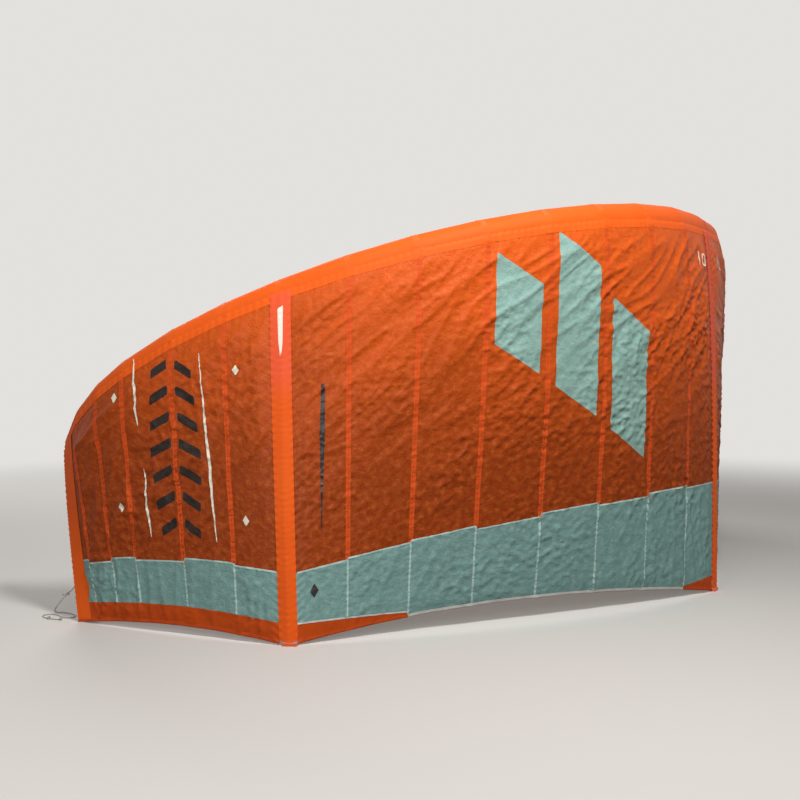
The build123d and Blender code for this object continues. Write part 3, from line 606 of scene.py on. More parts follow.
def sewn_tape(name, base, thread, half_width):
    """Seam tape: folded cloth with two rows of zigzag stitching that pull it into dimples."""
    made, tree, shader = material(name, base, 0.6, Sheen_Weight=0.04, Specular_IOR_Level=0.15)
    base, thread = colour(base), colour(thread)
    vector, across, length = cloth_metres(tree)
    zigzag = add_node(tree, maths, {0: length, 1: stitch_length / 2}, operation="PINGPONG")
    zigzag = add_node(tree, maths, {0: zigzag, 1: 0.8}, operation="MULTIPLY")
    row = add_node(tree, maths, {0: across}, operation="ABSOLUTE")
    row = add_node(tree, maths, {0: row, 1: half_width * 0.45}, operation="SUBTRACT")
    gap = add_node(tree, maths, {0: row, 1: zigzag}, operation="SUBTRACT")
    gap = add_node(tree, maths, {0: gap}, operation="ABSOLUTE")
    line = {"Value": gap, "From Min": stitch_width * 0.3, "From Max": stitch_width}
    line = add_node(tree, remap, {**line, "To Min": 1.0, "To Max": 0.0})
    cloud = add_node(tree, noise, {"Vector": vector, "Scale": 30.0, "Detail": 3.0})
    soft = add_node(tree, mix, {0: cloud, 6: base, 7: thread}, mixed, data_type="RGBA")
    tone = add_node(tree, mix, {0: line, 6: soft, 7: thread}, mixed, data_type="RGBA")
    tree.links.new(shader.inputs["Base Color"], tone)
    fuzz = add_node(tree, noise, {"Vector": vector, "Scale": 90.0, "Detail": 3.0})
    dimple = add_node(tree, maths, {0: line, 1: -0.5, 2: fuzz}, operation="MULTIPLY_ADD")
    bumped(tree, shader, dimple, 0.6, 0.0015)
    return made


def printed_ink(name, base, pale, roughness):
    """Screen ink on cloth: an even matt film that shows the weave and cracks at creases."""
    made, tree, shader = material(name, base, roughness)
    vector = cloth_metres(tree)[0]
    chips = add_node(tree, noise, {"Vector": vector, "Scale": 120.0, "Detail": 5.0})
    chips = add_node(tree, maths, {0: chips, 1: 6.0}, operation="POWER")
    tones = {0: chips, 6: colour(base), 7: colour(pale)}
    tone = add_node(tree, mix, tones, mixed, data_type="RGBA")
    tree.links.new(shader.inputs["Base Color"], tone)
    relief = add_node(tree, noise, {"Vector": vector, "Scale": 160.0, "Detail": 4.0})
    bumped(tree, shader, relief, 0.35, 0.0008)
    return made


def moulded(name, base, worn, roughness, grain=900.0, **settings):
    """Moulded plastic or rubber: a fine spark-eroded grain, rubbed smoother and paler."""
    made, tree, shader = material(name, base, roughness, **settings)
    source = add_node(tree, coordinates, (), "Object")
    rubbed = add_node(tree, noise, {"Vector": source, "Scale": 90.0, "Detail": 4.0})
    rubbed = add_node(tree, maths, {0: rubbed, 1: 3.0}, operation="POWER")
    tones = {0: rubbed, 6: colour(base), 7: colour(worn)}
    tone = add_node(tree, mix, tones, mixed, data_type="RGBA")
    tree.links.new(shader.inputs["Base Color"], tone)
    rough = {0: rubbed, 1: -0.25, 2: roughness}
    rough = add_node(tree, maths, rough, operation="MULTIPLY_ADD")
    tree.links.new(shader.inputs["Roughness"], rough)
    relief = add_node(tree, noise, {"Vector": source, "Scale": grain, "Detail": 2.0})
    bumped(tree, shader, relief, 0.25, 0.0004)
    return made


def strap_weave(name, base, pale):
    """Nylon webbing: ribs of coarse yarn across the strap, with a dull fuzz on them."""
    made, tree, shader = material(name, base, 0.75, Sheen_Weight=0.35)
    source = add_node(tree, coordinates, (), "Object")
    rib = {"Vector": source, "Scale": 160.0, "Distortion": 1.5}
    rib = add_node(tree, "ShaderNodeTexWave", rib, "Fac")
    fuzz = add_node(tree, noise, {"Vector": source, "Scale": 700.0, "Detail": 3.0})
    shade = add_node(tree, maths, {0: rib, 1: fuzz}, operation="MULTIPLY")
    tones = {0: shade, 6: colour(base), 7: colour(pale)}
    tone = add_node(tree, mix, tones, mixed, data_type="RGBA")
    tree.links.new(shader.inputs["Base Color"], tone)
    relief = add_node(tree, maths, {0: rib, 1: fuzz}, operation="ADD")
    bumped(tree, shader, relief, 0.5, 0.0008)
    return made


def braided(name, base, deep):
    """Braided polyester line: a fine herringbone of yarns, white and slightly silky."""
    made, tree, shader = material(name, base, 0.6, Sheen_Weight=0.3)
    source = add_node(tree, coordinates, (), "Object")
    plait = {"Vector": source, "Scale": 210.0, "Distortion": 2.0}
    plait = add_node(tree, "ShaderNodeTexWave", plait, "Fac", bands_direction="DIAGONAL")
    tones = {0: plait, 6: colour(deep), 7: colour(base)}
    tone = add_node(tree, mix, tones, mixed, data_type="RGBA")
    tree.links.new(shader.inputs["Base Color"], tone)
    bumped(tree, shader, plait, 0.5, 0.0008)
    return made


def tumbled(name, base, roughness):
    """Stainless steel rod, bent and tumbled: grey, soft-edged glints and fine scratches."""
    made, tree, shader = material(name, base, roughness, Metallic=1.0)
    source = add_node(tree, coordinates, (), "Object")
    scratches = add_node(tree, noise, {"Vector": source, "Scale": 600.0, "Detail": 5.0})
    rough = {0: scratches, 1: 0.25, 2: roughness - 0.1}
    rough = add_node(tree, maths, rough, operation="MULTIPLY_ADD")
    tree.links.new(shader.inputs["Roughness"], rough)
    bumped(tree, shader, scratches, 0.15, 0.0003)
    return made


# Each ripstop's deep colour is its painted shade low on the canopy, and also the colour of its
# grid threads.
orange_ripstop = ripstop(
    "orange_ripstop", "#DA5611", "#8E3306", "#EE8038", "#FFB080",
    {"mint_shape": ("#86AAA0", "#C0D8CE"), "dark_shape": ("#2B2624", "#5A3D30")},
)
mint_ripstop = ripstop(
    "mint_ripstop", "#84A69F", "#739792", "#B4CFC6", "#DDEEE8",
    {"orange_shape": ("#EE6722", "#F58A4A")},
)
orange_polyester = woven_polyester("orange_polyester", "#F2651A", "#E4570E")
band_polyester = woven_polyester(
    "band_polyester", "#F2651A", "#E4550F", "#EC5A34", {"white_shape": "#F1E9DA"}
)
patch_cloth = woven_polyester("patch_cloth", "#CC4F10", "#B5420A")
hem_tape = sewn_tape("white_hem_tape", "#E6E2DC", "#B9B4AE", 0.006)
orange_hem = sewn_tape("orange_hem_tape", "#E8601C", "#B93F10", 0.006)
seam_tape = sewn_tape("red_seam_tape", "#CC4812", "#D8541E", 0.011)
tube_tape = sewn_tape("tube_seam_tape", "#E65814", "#EE7034", 0.012)
mint_tape = sewn_tape("mint_seam_tape", "#9CBFB6", "#B9D2CA", 0.004)
white_ink = printed_ink("white_ink", "#EFE6D2", "#D9A070", 0.5)
black_ink = printed_ink("black_ink", "#2B2624", "#6B3A24", 0.45)
black_nylon = moulded("black_nylon", "#161617", "#3A3A3C", 0.5)
glossy_acetal = moulded("glossy_acetal", "#1B1B1D", "#3C3C40", 0.32)
orange_nylon = moulded("orange_nylon", "#E4571A", "#F08A55", 0.45)
clear_silicone = moulded(
    "clear_silicone", "#D5DAD9", "#EEF1F0", 0.35, 400.0, Transmission_Weight=0.25
)
bladder_film = moulded("bladder_film", "#DDE4E0", "#EEF2EF", 0.3, 300.0)
orange_webbing = strap_weave("orange_webbing", "#DE5414", "#F07A3C")
black_webbing = strap_weave("black_webbing", "#141415", "#38383B")
white_braid = braided("white_braid", "#D6D2C9", "#8F8B83")
tumbled_steel = tumbled("tumbled_steel", "#B9BABC", 0.32)


# ---------------------------------------------------------------------- small solid pieces
def dress(finish, *names):
    """Gives CAD pieces their finish."""
    for name in names:
        piece = nodes[name]
        piece.data.materials.clear()
        piece.data.materials.append(finish)


for which in "centre", "left", "right":
    dress(bladder_film, f"{which}_strut_bladder")
    dress(black_nylon, f"{which}_hose_elbows")
    dress(clear_silicone, f"{which}_hose")
    dress(glossy_acetal, f"{which}_hose_clip")
    dress(orange_webbing, f"{which}_foot_pad")
for which in "left", "right":
    dress(black_webbing, f"{which}_tip_tab", f"{which}_bridle_tabs")
dress(bladder_film, "leading_edge_bladder")
dress(black_nylon, "inflate_valve", "deflate_valve")
dress(orange_nylon, "inflate_valve_cap", "deflate_valve_cap")
dress(tumbled_steel, "inflate_valve_pin", "leash_ring")
dress(black_webbing, "leash_loop")


# --------------------------------------------------------------------------------- pigtail
pigtail_route = (
    (-2.0654, 1.0005, 0.1475),
    (-2.0745, 1.0228, 0.1244),
    (-2.0862, 1.0465, 0.0991),
    (-2.0944, 1.0722, 0.0739),
    (-2.1006, 1.0939, 0.0487),
    (-2.1013, 1.1136, 0.0264),
    (-2.0920, 1.1304, 0.0100),
    (-2.0700, 1.1284, 0.0030),
    (-2.0550, 1.1044, 0.0026),
    (-2.0530, 1.0724, 0.0026),
    (-2.0580, 1.0424, 0.0026),
    (-2.0670, 1.0164, 0.0026),
    (-2.0870, 1.0004, 0.0026),
    (-2.1090, 1.0064, 0.0026),
    (-2.1180, 1.0304, 0.0026),
    (-2.1130, 1.0594, 0.0026),
    (-2.1040, 1.0884, 0.0026),
    (-2.1030, 1.1174, 0.0026),
    (-2.1140, 1.1394, 0.0026),
    (-2.1370, 1.1454, 0.0026),
    (-2.1560, 1.1304, 0.0026),
    (-2.1640, 1.1024, 0.0026),
    (-2.1650, 1.0714, 0.0026),
    (-2.1600, 1.0414, 0.0026),
    (-2.1500, 1.0134, 0.0026),
)
pigtail_diameter = 0.005
knot_size = 0.0046
knot_yarn = 0.0022


def line_piece(name, points, diameter, order=3, closed=False):
    """A round line along a smooth route, as a curve with its thickness."""
    curve = bpy.data.curves.new(name, "CURVE")
    curve.dimensions = "3D"
    curve.bevel_depth = diameter / 2
    curve.bevel_resolution = 4
    curve.use_fill_caps = True
    curve.resolution_u = 8
    spline = curve.splines.new("NURBS")
    spline.points.add(len(points) - 1)
    for knot, place in zip(spline.points, points):
        knot.co = (*place, 1)
    spline.order_u = order
    if closed:
        spline.use_cyclic_u = True
    else:
        spline.use_endpoint_u = True
    curve.materials.append(white_braid)
    piece = bpy.data.objects.new(name, curve)
    bpy.context.collection.objects.link(piece)
    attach(piece, body)
    return piece


def overhand_knot(name, middle, aim):
    """A tight overhand knot: three crossing turns round the line, seen from its end."""
    aim = unit(np.array(aim, float))
    side = unit(np.cross(aim, (0.31, 0.17, 0.93)))
    other = np.cross(aim, side)
    turns = np.linspace(0, 2 * pi, 18, endpoint=False)
    reach = knot_size * (1 + 0.45 * np.cos(3 * turns))
    points = (
        np.array(middle)
        + side * (reach * np.cos(2 * turns))[:, None]
        + other * (reach * np.sin(2 * turns))[:, None]
        + aim * (knot_size * 0.75 * np.sin(3 * turns))[:, None]
    )
    return line_piece(name, points.tolist(), 2 * knot_yarn, closed=True)


pigtail = line_piece("pigtail", pigtail_route, pigtail_diameter)
knot_lift = 0.0042
route = np.array(pigtail_route)
upper_knot = overhand_knot("upper_knot", route[2], route[3] - route[1])
lower_knot = overhand_knot(
    "lower_knot", route[-3] + (0, 0, knot_lift), route[-2] - route[-4]
)
end_knot = overhand_knot("end_knot", route[-1] + (0, 0, knot_lift), route[-1] - route[-2])
tail_end = route[2] + 0.030 * unit(np.array((-0.35, 0.9, -0.25)))
tail_middle = (route[2] + tail_end) / 2 + (0, 0.001, 0.002)
knot_tail = line_piece(
    "knot_tail", [route[2].tolist(), tail_middle.tolist(), tail_end.tolist()], pigtail_diameter
)
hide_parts("left_pigtail")
for knot in (upper_knot, lower_knot, end_knot, knot_tail):
    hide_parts("left_pigtail_knots")

# ---------------------------------------------------------------------------------- canopy
band_half = strut_band_width / 2
centre_edge = band_half / centre_panel_width
inner_edge = centre_panels - band_half / centre_panel_width
outer_edge = centre_panels + band_half / tip_panel_width
overlap = 0.010              # neighbouring cloths lie over each other by this much


def hem_line(place):
    """Where the cloths end inside the hem."""
    return np.full_like(place, hem_height - 0.002, dtype=float)


band_joint_steps = (0, 0.010, -0.004, 0.008, -0.006, 0.009, 0.001, -0.006)


def band_line(place):
    """Top of the edge band, which steps a little at each joint."""
    panel = np.clip(place.astype(int), 0, last_seam - 1) % len(band_joint_steps)
    return band_top(place) + np.array(band_joint_steps)[panel]


def under_band_line(place):
    """Where the bays end behind the edge band."""
    return band_line(place) - overlap


def tube_line(place):
    return chord_length(place)


def patch_line(place):
    """Top of the orange corner patches under the band."""
    rise = np.clip((place - (centre_panels - 2)) / 2, 0, 1)
    side = np.where(place > centre_panels - 2, 0.025 + (0.082 - 0.025) * rise, 0.010)
    middle = 0.016 + (0.089 - 0.016) * (1 - place)
    inner = np.where(place < 1, middle, side)
    return np.where(place > centre_panels, 0.082, inner)


def under_patch_line(place):
    """Where the edge band ends behind the corner patches."""
    return np.maximum(patch_line(place) - overlap / 2, hem_height)


sleeve_gap = 0.030           # between the tip's sleeve and the tube
# How far each layer stands off the canopy.
canopy_lift = 0.0004
tape_lift = 0.0010
band_lift = 0.0012
flap_lift = 0.0016
joint_lift = 0.0018
patch_lift = 0.0020
strut_band_lift = 0.0026
print_lift = 0.0026
patch_edge_lift = 0.0028
sleeve_lift = 0.0032

bar_width = 0.205
bar_slant = 0.13             # how much higher a bar's outboard corner is than its inboard one


def slanted_bar(run, low, high):
    """Upright bar with both ends cut on the same slant."""
    return ((run, low), (run + bar_width, low + bar_slant), (run + bar_width, high + bar_slant),
            (run, high))


def slanted_dashes(run, height, gap, length, rise, thick):
    """Two short bars that rise towards a seam from both its sides."""
    for way in (-1, 1):
        near, far = run + way * gap, run + way * (gap + length)
        yield ((near, height + rise), (far, height), (far, height + thick),
               (near, height + rise + thick))


mint_bars = (
    slanted_bar(run_at(2.13), 0.62, 1.20),
    slanted_bar(run_at(3.13), 0.80, 1.46),
    slanted_bar(run_at(4.13), 0.98, 1.36),
)
dashes = [
    outline
    for step in range(7)
    for outline in slanted_dashes(run_at(10), 0.36 + 0.108 * step, 0.017,
                                  0.098 - 0.008 * abs(step - 3), 0.046, 0.042)
]
notch_turns = np.linspace(0, 2 * pi, 40, endpoint=False)
notch = np.stack((run_at(last_seam) + 0.108 * np.cos(notch_turns),
                  0.145 + 0.080 * np.sin(notch_turns)), axis=1)
strut_mark = [(seam_runs[centre_panels] + across, height) for across, height in (
    (-0.012, 1.345), (0.012, 1.335), (0.010, 1.20), (0.001, 1.10), (-0.009, 1.20))]


def sleeve_line(place):
    """Top of the tip's sleeve."""
    return chord_length(place) - sleeve_gap


def sheet(name, side, start, end, low, high, lift, finish, slot, *replaced, shapes=()):
    full = f"{halves[side]}_{name}"
    piece, size = cloth(full, side, start, end, low, high, lift, finish, shapes)
    if replaced:
        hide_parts(*[f"{halves[side]}_{node}" for node in replaced])


for side in halves:
    for bay, start, end, shapes in (
        ("centre_bay", centre_edge, inner_edge, {"mint_shape": mint_bars}),
        ("tip_bay", outer_edge, last_seam, {"dark_shape": dashes}),
    ):
        sheet(bay, side, start, end, under_band_line, tube_line, canopy_lift, orange_ripstop,
              "canopy_cloth", f"{bay}_canopy", shapes=shapes)
    for bay, start, end, shapes in (
        ("centre", centre_edge, inner_edge, {}),
        ("tip", outer_edge, patch_start, {"orange_shape": [notch]}),
    ):
        sheet(f"{bay}_edge_band", side, start, end, under_patch_line, band_line, band_lift,
              mint_ripstop, "edge_band_cloth", f"{bay}_bay_edge_band", shapes=shapes)
    for patch, start, end in (
        ("centre_corner_patch", centre_edge, 1),
        ("side_corner_patch", centre_panels - 2, inner_edge),
        ("tip_lower_patch", outer_edge, patch_start),
    ):
        sheet(patch, side, start, end, hem_line, patch_line, patch_lift, patch_cloth,
              "patch_cloth", "corner_patches")
    sheet("tip_corner_patch", side, patch_start, last_seam, hem_line, band_line, patch_lift,
          patch_cloth, "patch_cloth", "tip_patch")
    sheet("tip_sleeve", side, float(place_at(seam_runs[-1] - sleeve_width)), last_seam,
          hem_line, sleeve_line, sleeve_lift, orange_polyester, "casing_cloth")


# ------------------------------------------------------------------------------ strut bands
def pad_line(place):
    """Lower end of the bands over the struts."""
    return np.full_like(place, foot_pad_height + 0.001, dtype=float)


for side in halves:
    half = halves[side]
    inner_half, size = cloth(f"{half}_half_of_centre_strut_band", side, 0.0, centre_edge,
                             pad_line, tube_line, strut_band_lift, band_polyester)
    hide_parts("centre_strut_band")
    sheet("side_strut_band", side, inner_edge, outer_edge, pad_line, tube_line,
          strut_band_lift, band_polyester, "band_cloth", "strut_band",
          shapes={"white_shape": [strut_mark]})

# ------------------------------------------------------------------------ seams and the hem
tape_half = 0.0105
joint_half = 0.0040
edge_half = 0.0035


def tape(side, seam, low, high, half_width, lift):
    """Grid of a tape that runs up a seam."""
    middle = np.array([float(seam)])
    bottom, top = low(middle)[0], high(middle)[0]
    rows = int((top - bottom) / cloth_step)
    across = np.linspace(-half_width, half_width, 4)
    height = np.linspace(bottom, top, rows)[:, None] + across * 0
    place = place_at(run_at(seam) + across) + height * 0
    points = canopy_point(place, height, folds(place, height, side) + lift)
    metres = np.stack((across + height * 0, height), axis=-1)
    return mirrored(points, side), metres


def tapes(name, side, seams, low, high, half_width, lift, finish):
    """Tapes on several seams as one piece."""
    grids = [tape(side, seam, low, high, half_width, lift) for seam in seams]
    return woven_mesh(f"{halves[side]}_{name}", grids, finish, side == left)


def edge_tape(name, side, start, end, line, half_width, lift, finish):
    """Tape along a line that runs with the span."""
    run = np.arange(run_at(start), run_at(end), cloth_step)
    across = np.linspace(-half_width, half_width, 4)[:, None]
    place = place_at(run) + across * 0
    height = line(place) + across
    points = canopy_point(place, height, folds(place, height, side) + lift)
    metres = np.stack((across + place * 0, run + place * 0), axis=-1)
    grids = [(mirrored(points, side), metres)]
    return woven_mesh(f"{halves[side]}_{name}", grids, finish, side == left)


hem_section = (
    (0.0150, 0.0026),
    (0.0110, 0.0034),
    (0.0040, 0.0034),
    (0.0005, 0.0024),
    (0.0000, 0.0010),
    (0.0005, -0.0006),
    (0.0040, -0.0014),
    (0.0120, -0.0014),
    (0.0150, -0.0006),
)


def hem(name, side, start, end, finish):
    """Folded tape round the trailing edge."""
    run = np.arange(run_at(start), run_at(end) + cloth_step / 2, cloth_step)
    rows = np.array(hem_section)[::-1]
    place = place_at(run) + rows[:, :1] * 0
    height = rows[:, :1] + place * 0
    lift = folds(place, height, side) + rows[:, 1:]
    points = canopy_point(place, height, lift)
    points[..., 2] = np.maximum(points[..., 2], 0.0004)
    metres = np.stack((rows[:, :1] - hem_height / 2 + place * 0, run + place * 0), axis=-1)
    grids = [(mirrored(points, side), metres)]
    piece = woven_mesh(f"{halves[side]}_{name}", grids, finish, side == left)
    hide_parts(f"{halves[side]}_trailing_edge_hem")
    return piece


centre_seams = range(1, centre_panels)
tip_seams = range(centre_panels + 1, last_seam)
for side in halves:
    tapes("centre_seam_tapes", side, centre_seams, band_line, tube_line, tape_half, tape_lift,
          seam_tape)
    tapes("tip_seam_tapes", side, tip_seams, band_line, tube_line, tape_half, tape_lift,
          seam_tape)
    tapes("band_joint_tapes", side, (*centre_seams, *tip_seams), patch_line, band_line,
          joint_half, joint_lift, mint_tape)
    edge_tape("centre_band_edge", side, centre_edge, inner_edge, band_line, edge_half,
              patch_lift, mint_tape)
    edge_tape("tip_band_edge", side, outer_edge, patch_start, band_line, edge_half,
              patch_lift, mint_tape)
    edge_tape("side_patch_edge", side, centre_panels - 2, inner_edge, patch_line, edge_half,
              patch_edge_lift, hem_tape)
    hem("centre_hem", side, 1.0, centre_panels - 2, hem_tape)
    hem("foot_hem", side, centre_edge, 1.0, orange_hem)
    hem("side_hem", side, centre_panels - 2, inner_edge, orange_hem)
    hem("tip_hem", side, outer_edge, last_seam, orange_hem)

# ------------------------------------------------------------------------ leading edge tube
tube_step = 0.011
tube_sides = 60
around_tube = np.linspace(0, 2 * pi, tube_sides, endpoint=False)
pucker_count = 34            # puckers round a seam of the tube
end_turns = (25, 50, 72, 86) # degrees round the tube's closed end at which it has a ring
end_bulge = 0.35             # of the closed end, as a share of its radius
end_length = 0.67            # from the last seam to the closed end
tube_tape_steps = (-0.012, -0.006, 0.006, 0.012)
tube_tape_lift = 0.0008
flap_hang = 0.034            # of the flap below the tube
flap_wrap = (0.03, 0.62)     # angles between which the flap lies on the tube


def tube_folds(place, angle, side):
    """Lift of the tube's cloth between its seams, with puckers where it is sewn."""
    seed = 71 if side == left else 97
    seam = np.round(place)
    width = np.append(panel_widths, end_length)[np.clip(seam.astype(int), 0, last_seam)]
    to_seam = np.abs(place - seam) * width
    seam_pull = -0.0016 * edge_fade(to_seam, 0.030)
    gather = 0.0009 * edge_fade(to_seam, 0.045) * np.cos(
        pucker_count * angle + 4 * waves(angle * 3, seam * 5, seed)
    )
    bent = 0.0014 * edge_fade(to_seam, 0.07) * np.clip(-np.cos(angle), 0, 1)
    bent = bent * np.cos(2 * pi * to_seam / 0.022)
    skin = 0.0007 * waves(place * 9, angle * 3, seed + 1)
    return seam_pull + gather + bent + skin


def tube_casing(side):
    """The tube's cloth from the centre to its rounded end."""
    end_run = seam_runs[-1] + np.linalg.norm(axis[-1] - axis[-2])
    run = np.arange(0, end_run, tube_step)
    place = np.interp(run, np.append(seam_runs, end_run), np.arange(tube_end + 1))
    place, run = np.append(place, tube_end - 1e-6), np.append(run, end_run)
    place, angle = np.meshgrid(place, around_tube, indexing="ij")
    points = tube_point(place, angle, tube_folds(place, angle, side))
    closing = []
    for turn in np.radians(end_turns):
        ring = axis[-1] + (points[-1] - axis[-1]) * cos(turn)
        closing.append(ring + runs[-1] * tube_end_radius * end_bulge * sin(turn))
    points = np.concatenate((points, closing), axis=0)
    reach = np.append(along(radii, place[:, 0]), np.full(len(closing), tube_end_radius))
    run = np.append(run, run[-1] + 0.01 * np.arange(1, len(closing) + 1))
    angles = np.broadcast_to(around_tube, points.shape[:2])
    metres = np.stack((run[:, None] + angles * 0, angles * reach[:, None]), axis=-1)
    piece = woven_mesh(f"{halves[side]}_tube_casing", [(mirrored(points, side), metres)],
                       orange_polyester, side == right, closed=True)
    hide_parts(f"{halves[side]}_leading_edge_casing")


def tube_tapes(side):
    """Tapes round the tube's seams."""
    rings = []
    for seam in range(1, tube_end):
        width = panel_widths[min(seam, last_seam - 1)]
        angle = np.broadcast_to(around_tube, (len(tube_tape_steps), tube_sides))
        place = seam + np.array(tube_tape_steps)[:, None] / width + angle * 0
        lift = tube_folds(place, angle, side) + tube_tape_lift
        metres = np.stack(((place - seam) * width, angle * radii[seam]), axis=-1)
        rings.append((mirrored(tube_point(place, angle, lift), side), metres))
    woven_mesh(f"{halves[side]}_tube_seam_tapes", rings, tube_tape,
               side == right, closed=True)


def canopy_flap(side):
    """Strip that is sewn to the canopy's top and wraps on to the tube."""
    run = np.arange(band_half, seam_runs[-1], cloth_step)
    place = place_at(run)
    hang = np.linspace(-flap_hang, 0, 6)[:, None]
    low_place = place + hang * 0
    height = chord_length(low_place) + hang
    low = canopy_point(low_place, height, folds(low_place, height, side) + flap_lift)
    wrap = np.linspace(*flap_wrap, 9)[:, None] + place * 0
    high_place = place + wrap * 0
    high = tube_point(high_place, wrap, tube_folds(high_place, wrap, side) + flap_lift)
    points = np.concatenate((low, high), axis=0)
    across = np.concatenate((hang, wrap[:, :1] * tube_radius), axis=0) - 0.01
    metres = np.stack((across + place * 0, run + across * 0), axis=-1)
    woven_mesh(f"{halves[side]}_canopy_flap", [(mirrored(points, side), metres)],
               orange_polyester, side == left)


for side in halves:
    tube_casing(side)
    tube_tapes(side)
    canopy_flap(side)


# ---------------------------------------------------------------------------------- struts
def strut_rings(node, foot, climb):
    """Middle, radius and height of each ring of a strut's CAD casing, from the bottom."""
    mesh = nodes[node].data
    spots = np.empty(len(mesh.vertices) * 3, dtype=np.float32)
    mesh.vertices.foreach_get("co", spots)
    spots = spots.reshape(-1, 3)
    heights = (spots - foot) @ climb
    levels = np.unique(np.round(heights, 3))
    rings = []
    for level_height in levels:
        near = spots[np.abs(heights - level_height) < 0.0006]
        if len(near) < 24:
            continue
        middle = (near.max(0) + near.min(0)) / 2
        middle += climb * (level_height - (middle - foot) @ climb)
        reach = np.linalg.norm(near - middle, axis=1).max()
        if not rings or level_height - rings[-1][0] > 0.004:
            rings.append((level_height, middle, reach))
    return rings


strut_sides = 48
strut_top_gap = 0.045        # the strut ends inside the tube, this far below its top seam
strut_end_reach = 0.040      # radius by which the weave is laid round a strut
tube_share = 2.4             # rings nearer the top seam than this many radii are cut


def strut_piece(name, place, side):
    """Inflated strut from its rounded nose up into the leading edge tube."""
    where = np.array([float(place)])
    foot = trailing_edge(where)[0]
    climb = unit(along(tops, where)[0] - foot)
    if side == right:
        foot, climb = foot * (-1, 1, 1), climb * (-1, 1, 1)
    rings = strut_rings(f"{name}_casing", foot, climb)
    chord = float(chord_length(where)[0])
    # Rings cut by the tube are left out; there the last whole one follows the canopy's curve.
    whole = [ring for ring in rings if ring[0] < chord - tube_share * tube_radius]
    levels = np.array([ring[0] for ring in whole])
    middles = np.array([ring[1] for ring in whole])
    reaches = np.array([ring[2] for ring in whole])
    height = np.arange(levels[0], chord - strut_top_gap, 0.010)
    growth = (reaches[-1] - reaches[-2]) / (levels[-1] - levels[-2])
    grown = growth * np.maximum(height - levels[-1], 0)
    curve = canopy_point(0 * height + place, np.maximum(height, levels[-1]), -grown)
    curve = mirrored(curve, side)
    centre = np.stack([np.interp(height, levels, middles[:, k]) for k in range(3)], axis=1)
    centre = centre + curve - curve[0]
    reach = np.interp(height, levels, reaches) + grown
    side_way = unit(np.cross(climb, (0.0, 1.0, 0.0)))
    out_way = np.cross(side_way, climb)
    angle = np.linspace(0, 2 * pi, strut_sides, endpoint=False)
    seed = 130 + int(place)
    pull = np.cos(26 * angle)[None, :] * 0.0009 * edge_fade(height - height[0], 0.09)[:, None]
    skin = 0.0007 * waves(height[:, None] * 11, angle[None, :] * 2, seed)
    spread = reach[:, None] + pull + skin - 0.0006
    points = (
        centre[:, None]
        + side_way * (spread * np.cos(angle))[..., None]
        + out_way * (spread * np.sin(angle))[..., None]
    )
    metres = np.stack((angle * strut_end_reach + height[:, None] * 0,
                       height[:, None] + angle * 0), axis=-1)
    piece = woven_mesh(name, [(points, metres)], orange_polyester, False,
                       closed=True)
    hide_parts(f"{name}_casing")


strut_piece("centre_strut", 0, left)
strut_piece("left_strut", centre_panels, left)
strut_piece("right_strut", centre_panels, right)


# ------------------------------------------------------------------------- printed graphics
size_mark_height = 1.60
diamonds = ((8.72, 0.44), (8.80, 1.04), (11.30, 0.46), (11.25, 0.92))
diamond_height = 0.04
diamond_widths = (0.003, 0.030, 0.003)


def stroke(side, route, widths, step=0.003):
    """Grid of a printed stroke along a route of places and heights, with its widths."""
    spots = np.array(route, float)
    spots[:, 0] = run_at(spots[:, 0])
    gaps = np.linalg.norm(np.diff(spots, axis=0), axis=1)
    marks = np.concatenate(([0], np.cumsum(gaps)))
    count = max(int(marks[-1] / step), 2)
    fine = np.linspace(0, marks[-1], count)
    line = np.stack([np.interp(fine, marks, spots[:, k]) for k in (0, 1)], axis=1)
    for _ in range(6):
        line[1:-1] = (line[:-2] + 2 * line[1:-1] + line[2:]) / 4
    width = np.interp(fine, np.linspace(0, marks[-1], len(widths)), widths)
    way = unit(np.gradient(line, axis=0))
    out = np.stack((-way[:, 1], way[:, 0]), axis=1)
    columns = max(int(max(widths) / step) + 1, 3)
    across = np.linspace(-0.5, 0.5, columns)
    flat = line[:, None] + out[:, None] * (across[None, :, None] * width[:, None, None])
    place, height = place_at(flat[..., 0]), flat[..., 1]
    points = canopy_point(place, height, folds(place, height, side) + print_lift)
    return mirrored(points, side), flat


def printed(name, side, finish, slot, *strokes):
    """Printed strokes on one half as one piece."""
    grids = [stroke(side, route, widths) for route, widths in strokes]
    woven_mesh(f"{halves[side]}_{name}", grids, finish, side == right)


for side in halves:
    printed("dark_marks", side, black_ink, "webbing",
            (((7.42, 0.42), (7.38, 1.00)), (0.003, 0.010, 0.022, 0.014)),
            (((7.55, 0.165), (7.55, 0.215)), (0.004, 0.040, 0.004)))
    printed("pale_marks", side, white_ink, "hem_tape",
            (((9.30, 0.36), (9.45, 1.12)), (0.003, 0.013, 0.009, 0.003)),
            (((10.60, 0.36), (10.65, 0.64)), (0.003, 0.010, 0.009, 0.004)),
            (((10.70, 0.82), (10.75, 1.10)), (0.004, 0.012, 0.010, 0.003)),
            *((((place, low), (place, low + diamond_height)), diamond_widths)
              for place, low in diamonds))
    one, nought = (0.56, 0.40) if side == left else (0.40, 0.56)
    printed("size_mark", side, white_ink, "hem_tape",
            (((one, size_mark_height - 0.034), (one, size_mark_height + 0.034)),
             (0.009, 0.009)),
            ([(nought + 0.055 * cos(turn), size_mark_height + 0.029 * sin(turn))
              for turn in np.linspace(0, 2 * pi, 25)], (0.008, 0.008)))


# ------------------------------------------------------------------------- floor and light
floor_size = 40.0
floor_fades = (3.2, 9.0)     # the floor goes over into the studio between these distances
floor_pale = "#D3D0CB"       # where it is seen
floor_deep = "#75726E"       # for the light that it gives back
studio_colour = "#E3E1DD"
studio_light = "#F2F1EF"
studio_strength = 0.18

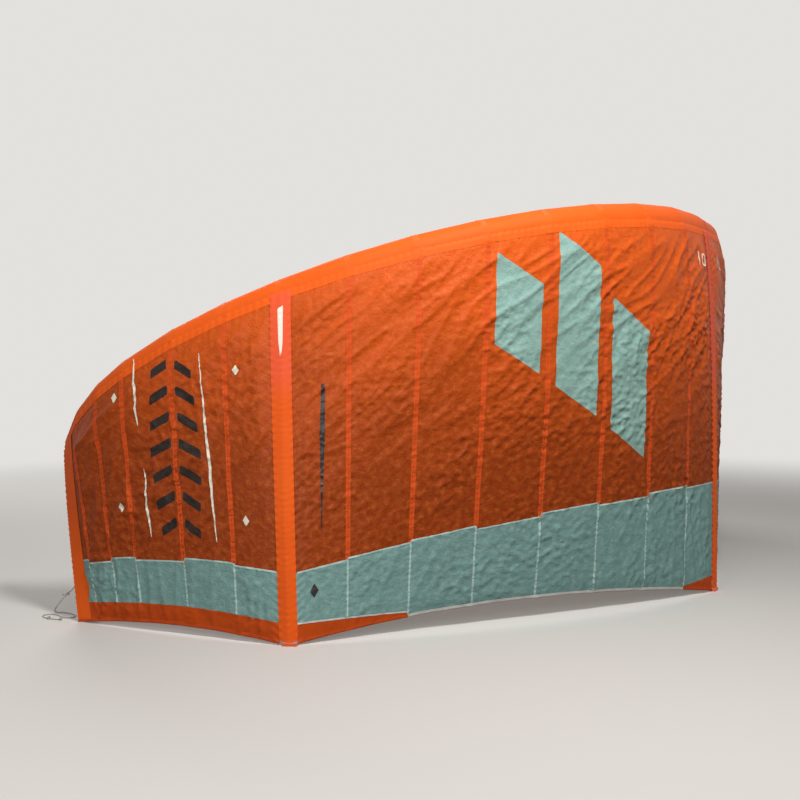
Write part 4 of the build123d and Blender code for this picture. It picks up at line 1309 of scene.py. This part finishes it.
bpy.ops.object.select_all(action="DESELECT")
bpy.ops.mesh.primitive_plane_add(size=floor_size, location=(0, 0, 0))
floor = bpy.context.object
floor.name = "floor"
floor_finish, tree, shader = material("pale_floor", floor_pale, 0.8)
seen = add_node(tree, "ShaderNodeLightPath", (), "Is Camera Ray")
tones = {0: seen, 6: colour(floor_deep), 7: colour(floor_pale)}
tone = add_node(tree, mix, tones, mixed, data_type="RGBA")
tree.links.new(shader.inputs["Base Color"], tone)
place = add_node(tree, coordinates, (), "Object")
reach = add_node(tree, "ShaderNodeVectorMath", {0: place}, "Value", operation="LENGTH")
fade = {"Value": reach, "From Min": floor_fades[0], "From Max": floor_fades[1]}
fade = add_node(tree, remap, fade, interpolation_type="SMOOTHSTEP")
fade = add_node(tree, maths, {0: fade, 1: seen}, operation="MULTIPLY")
far_floor = {"Color": colour(studio_colour), "Strength": 1.0}
far_floor = add_node(tree, "ShaderNodeEmission", far_floor)
both = {0: fade, 1: shader.outputs[0], 2: far_floor}
both = add_node(tree, "ShaderNodeMixShader", both)
tree.links.new(tree.nodes["Material Output"].inputs["Surface"], both)
floor.data.materials.append(floor_finish)


def soft_lamp(name, place, aim, size, power):
    """Large soft lamp aimed at a point."""
    lamp = bpy.data.objects.new(name, bpy.data.lights.new(name, "AREA"))
    bpy.context.collection.objects.link(lamp)
    lamp.data.shape = "SQUARE"
    lamp.data.size = size
    lamp.data.energy = power
    way = np.array(aim) - np.array(place)
    flat = float(np.hypot(way[0], way[1]))
    lamp.rotation_euler = (np.arctan2(flat, -way[2]), 0, np.arctan2(-way[0], way[1]))
    lamp.location = place


soft_lamp("key_lamp", (-2.6, -2.3, 4.3), (-1.0, -0.5, 0.9), 0.8, 165)
soft_lamp("front_lamp", (-7.5, -2.2, 2.6), (-1.2, -0.2, 0.8), 3.0, 150)
soft_lamp("back_lamp", (2.0, 5.5, 4.5), (0.0, 0.0, 0.7), 3.0, 170)

# The studio round the kite: dim for the light it gives, pale where it is seen or mirrored.
world = bpy.data.worlds.new("studio")
bpy.context.scene.world = world
world.use_nodes = True
tree = world.node_tree
given = tree.nodes["Background"]
given.inputs["Color"].default_value = colour(studio_light)
given.inputs["Strength"].default_value = studio_strength
pale = {"Color": colour(studio_colour), "Strength": 1.0}
pale = add_node(tree, "ShaderNodeBackground", pale)
seen = 0.0
for ray in "Is Camera Ray", "Is Glossy Ray", "Is Transmission Ray":
    path = add_node(tree, "ShaderNodeLightPath", (), ray)
    seen = add_node(tree, maths, {0: path, 1: seen}, operation="MAXIMUM")
both = add_node(tree, "ShaderNodeMixShader", {0: seen, 1: given.outputs[0], 2: pale})
tree.links.new(tree.nodes["World Output"].inputs["Surface"], both)
bpy.context.scene.view_settings.view_transform = "Standard"
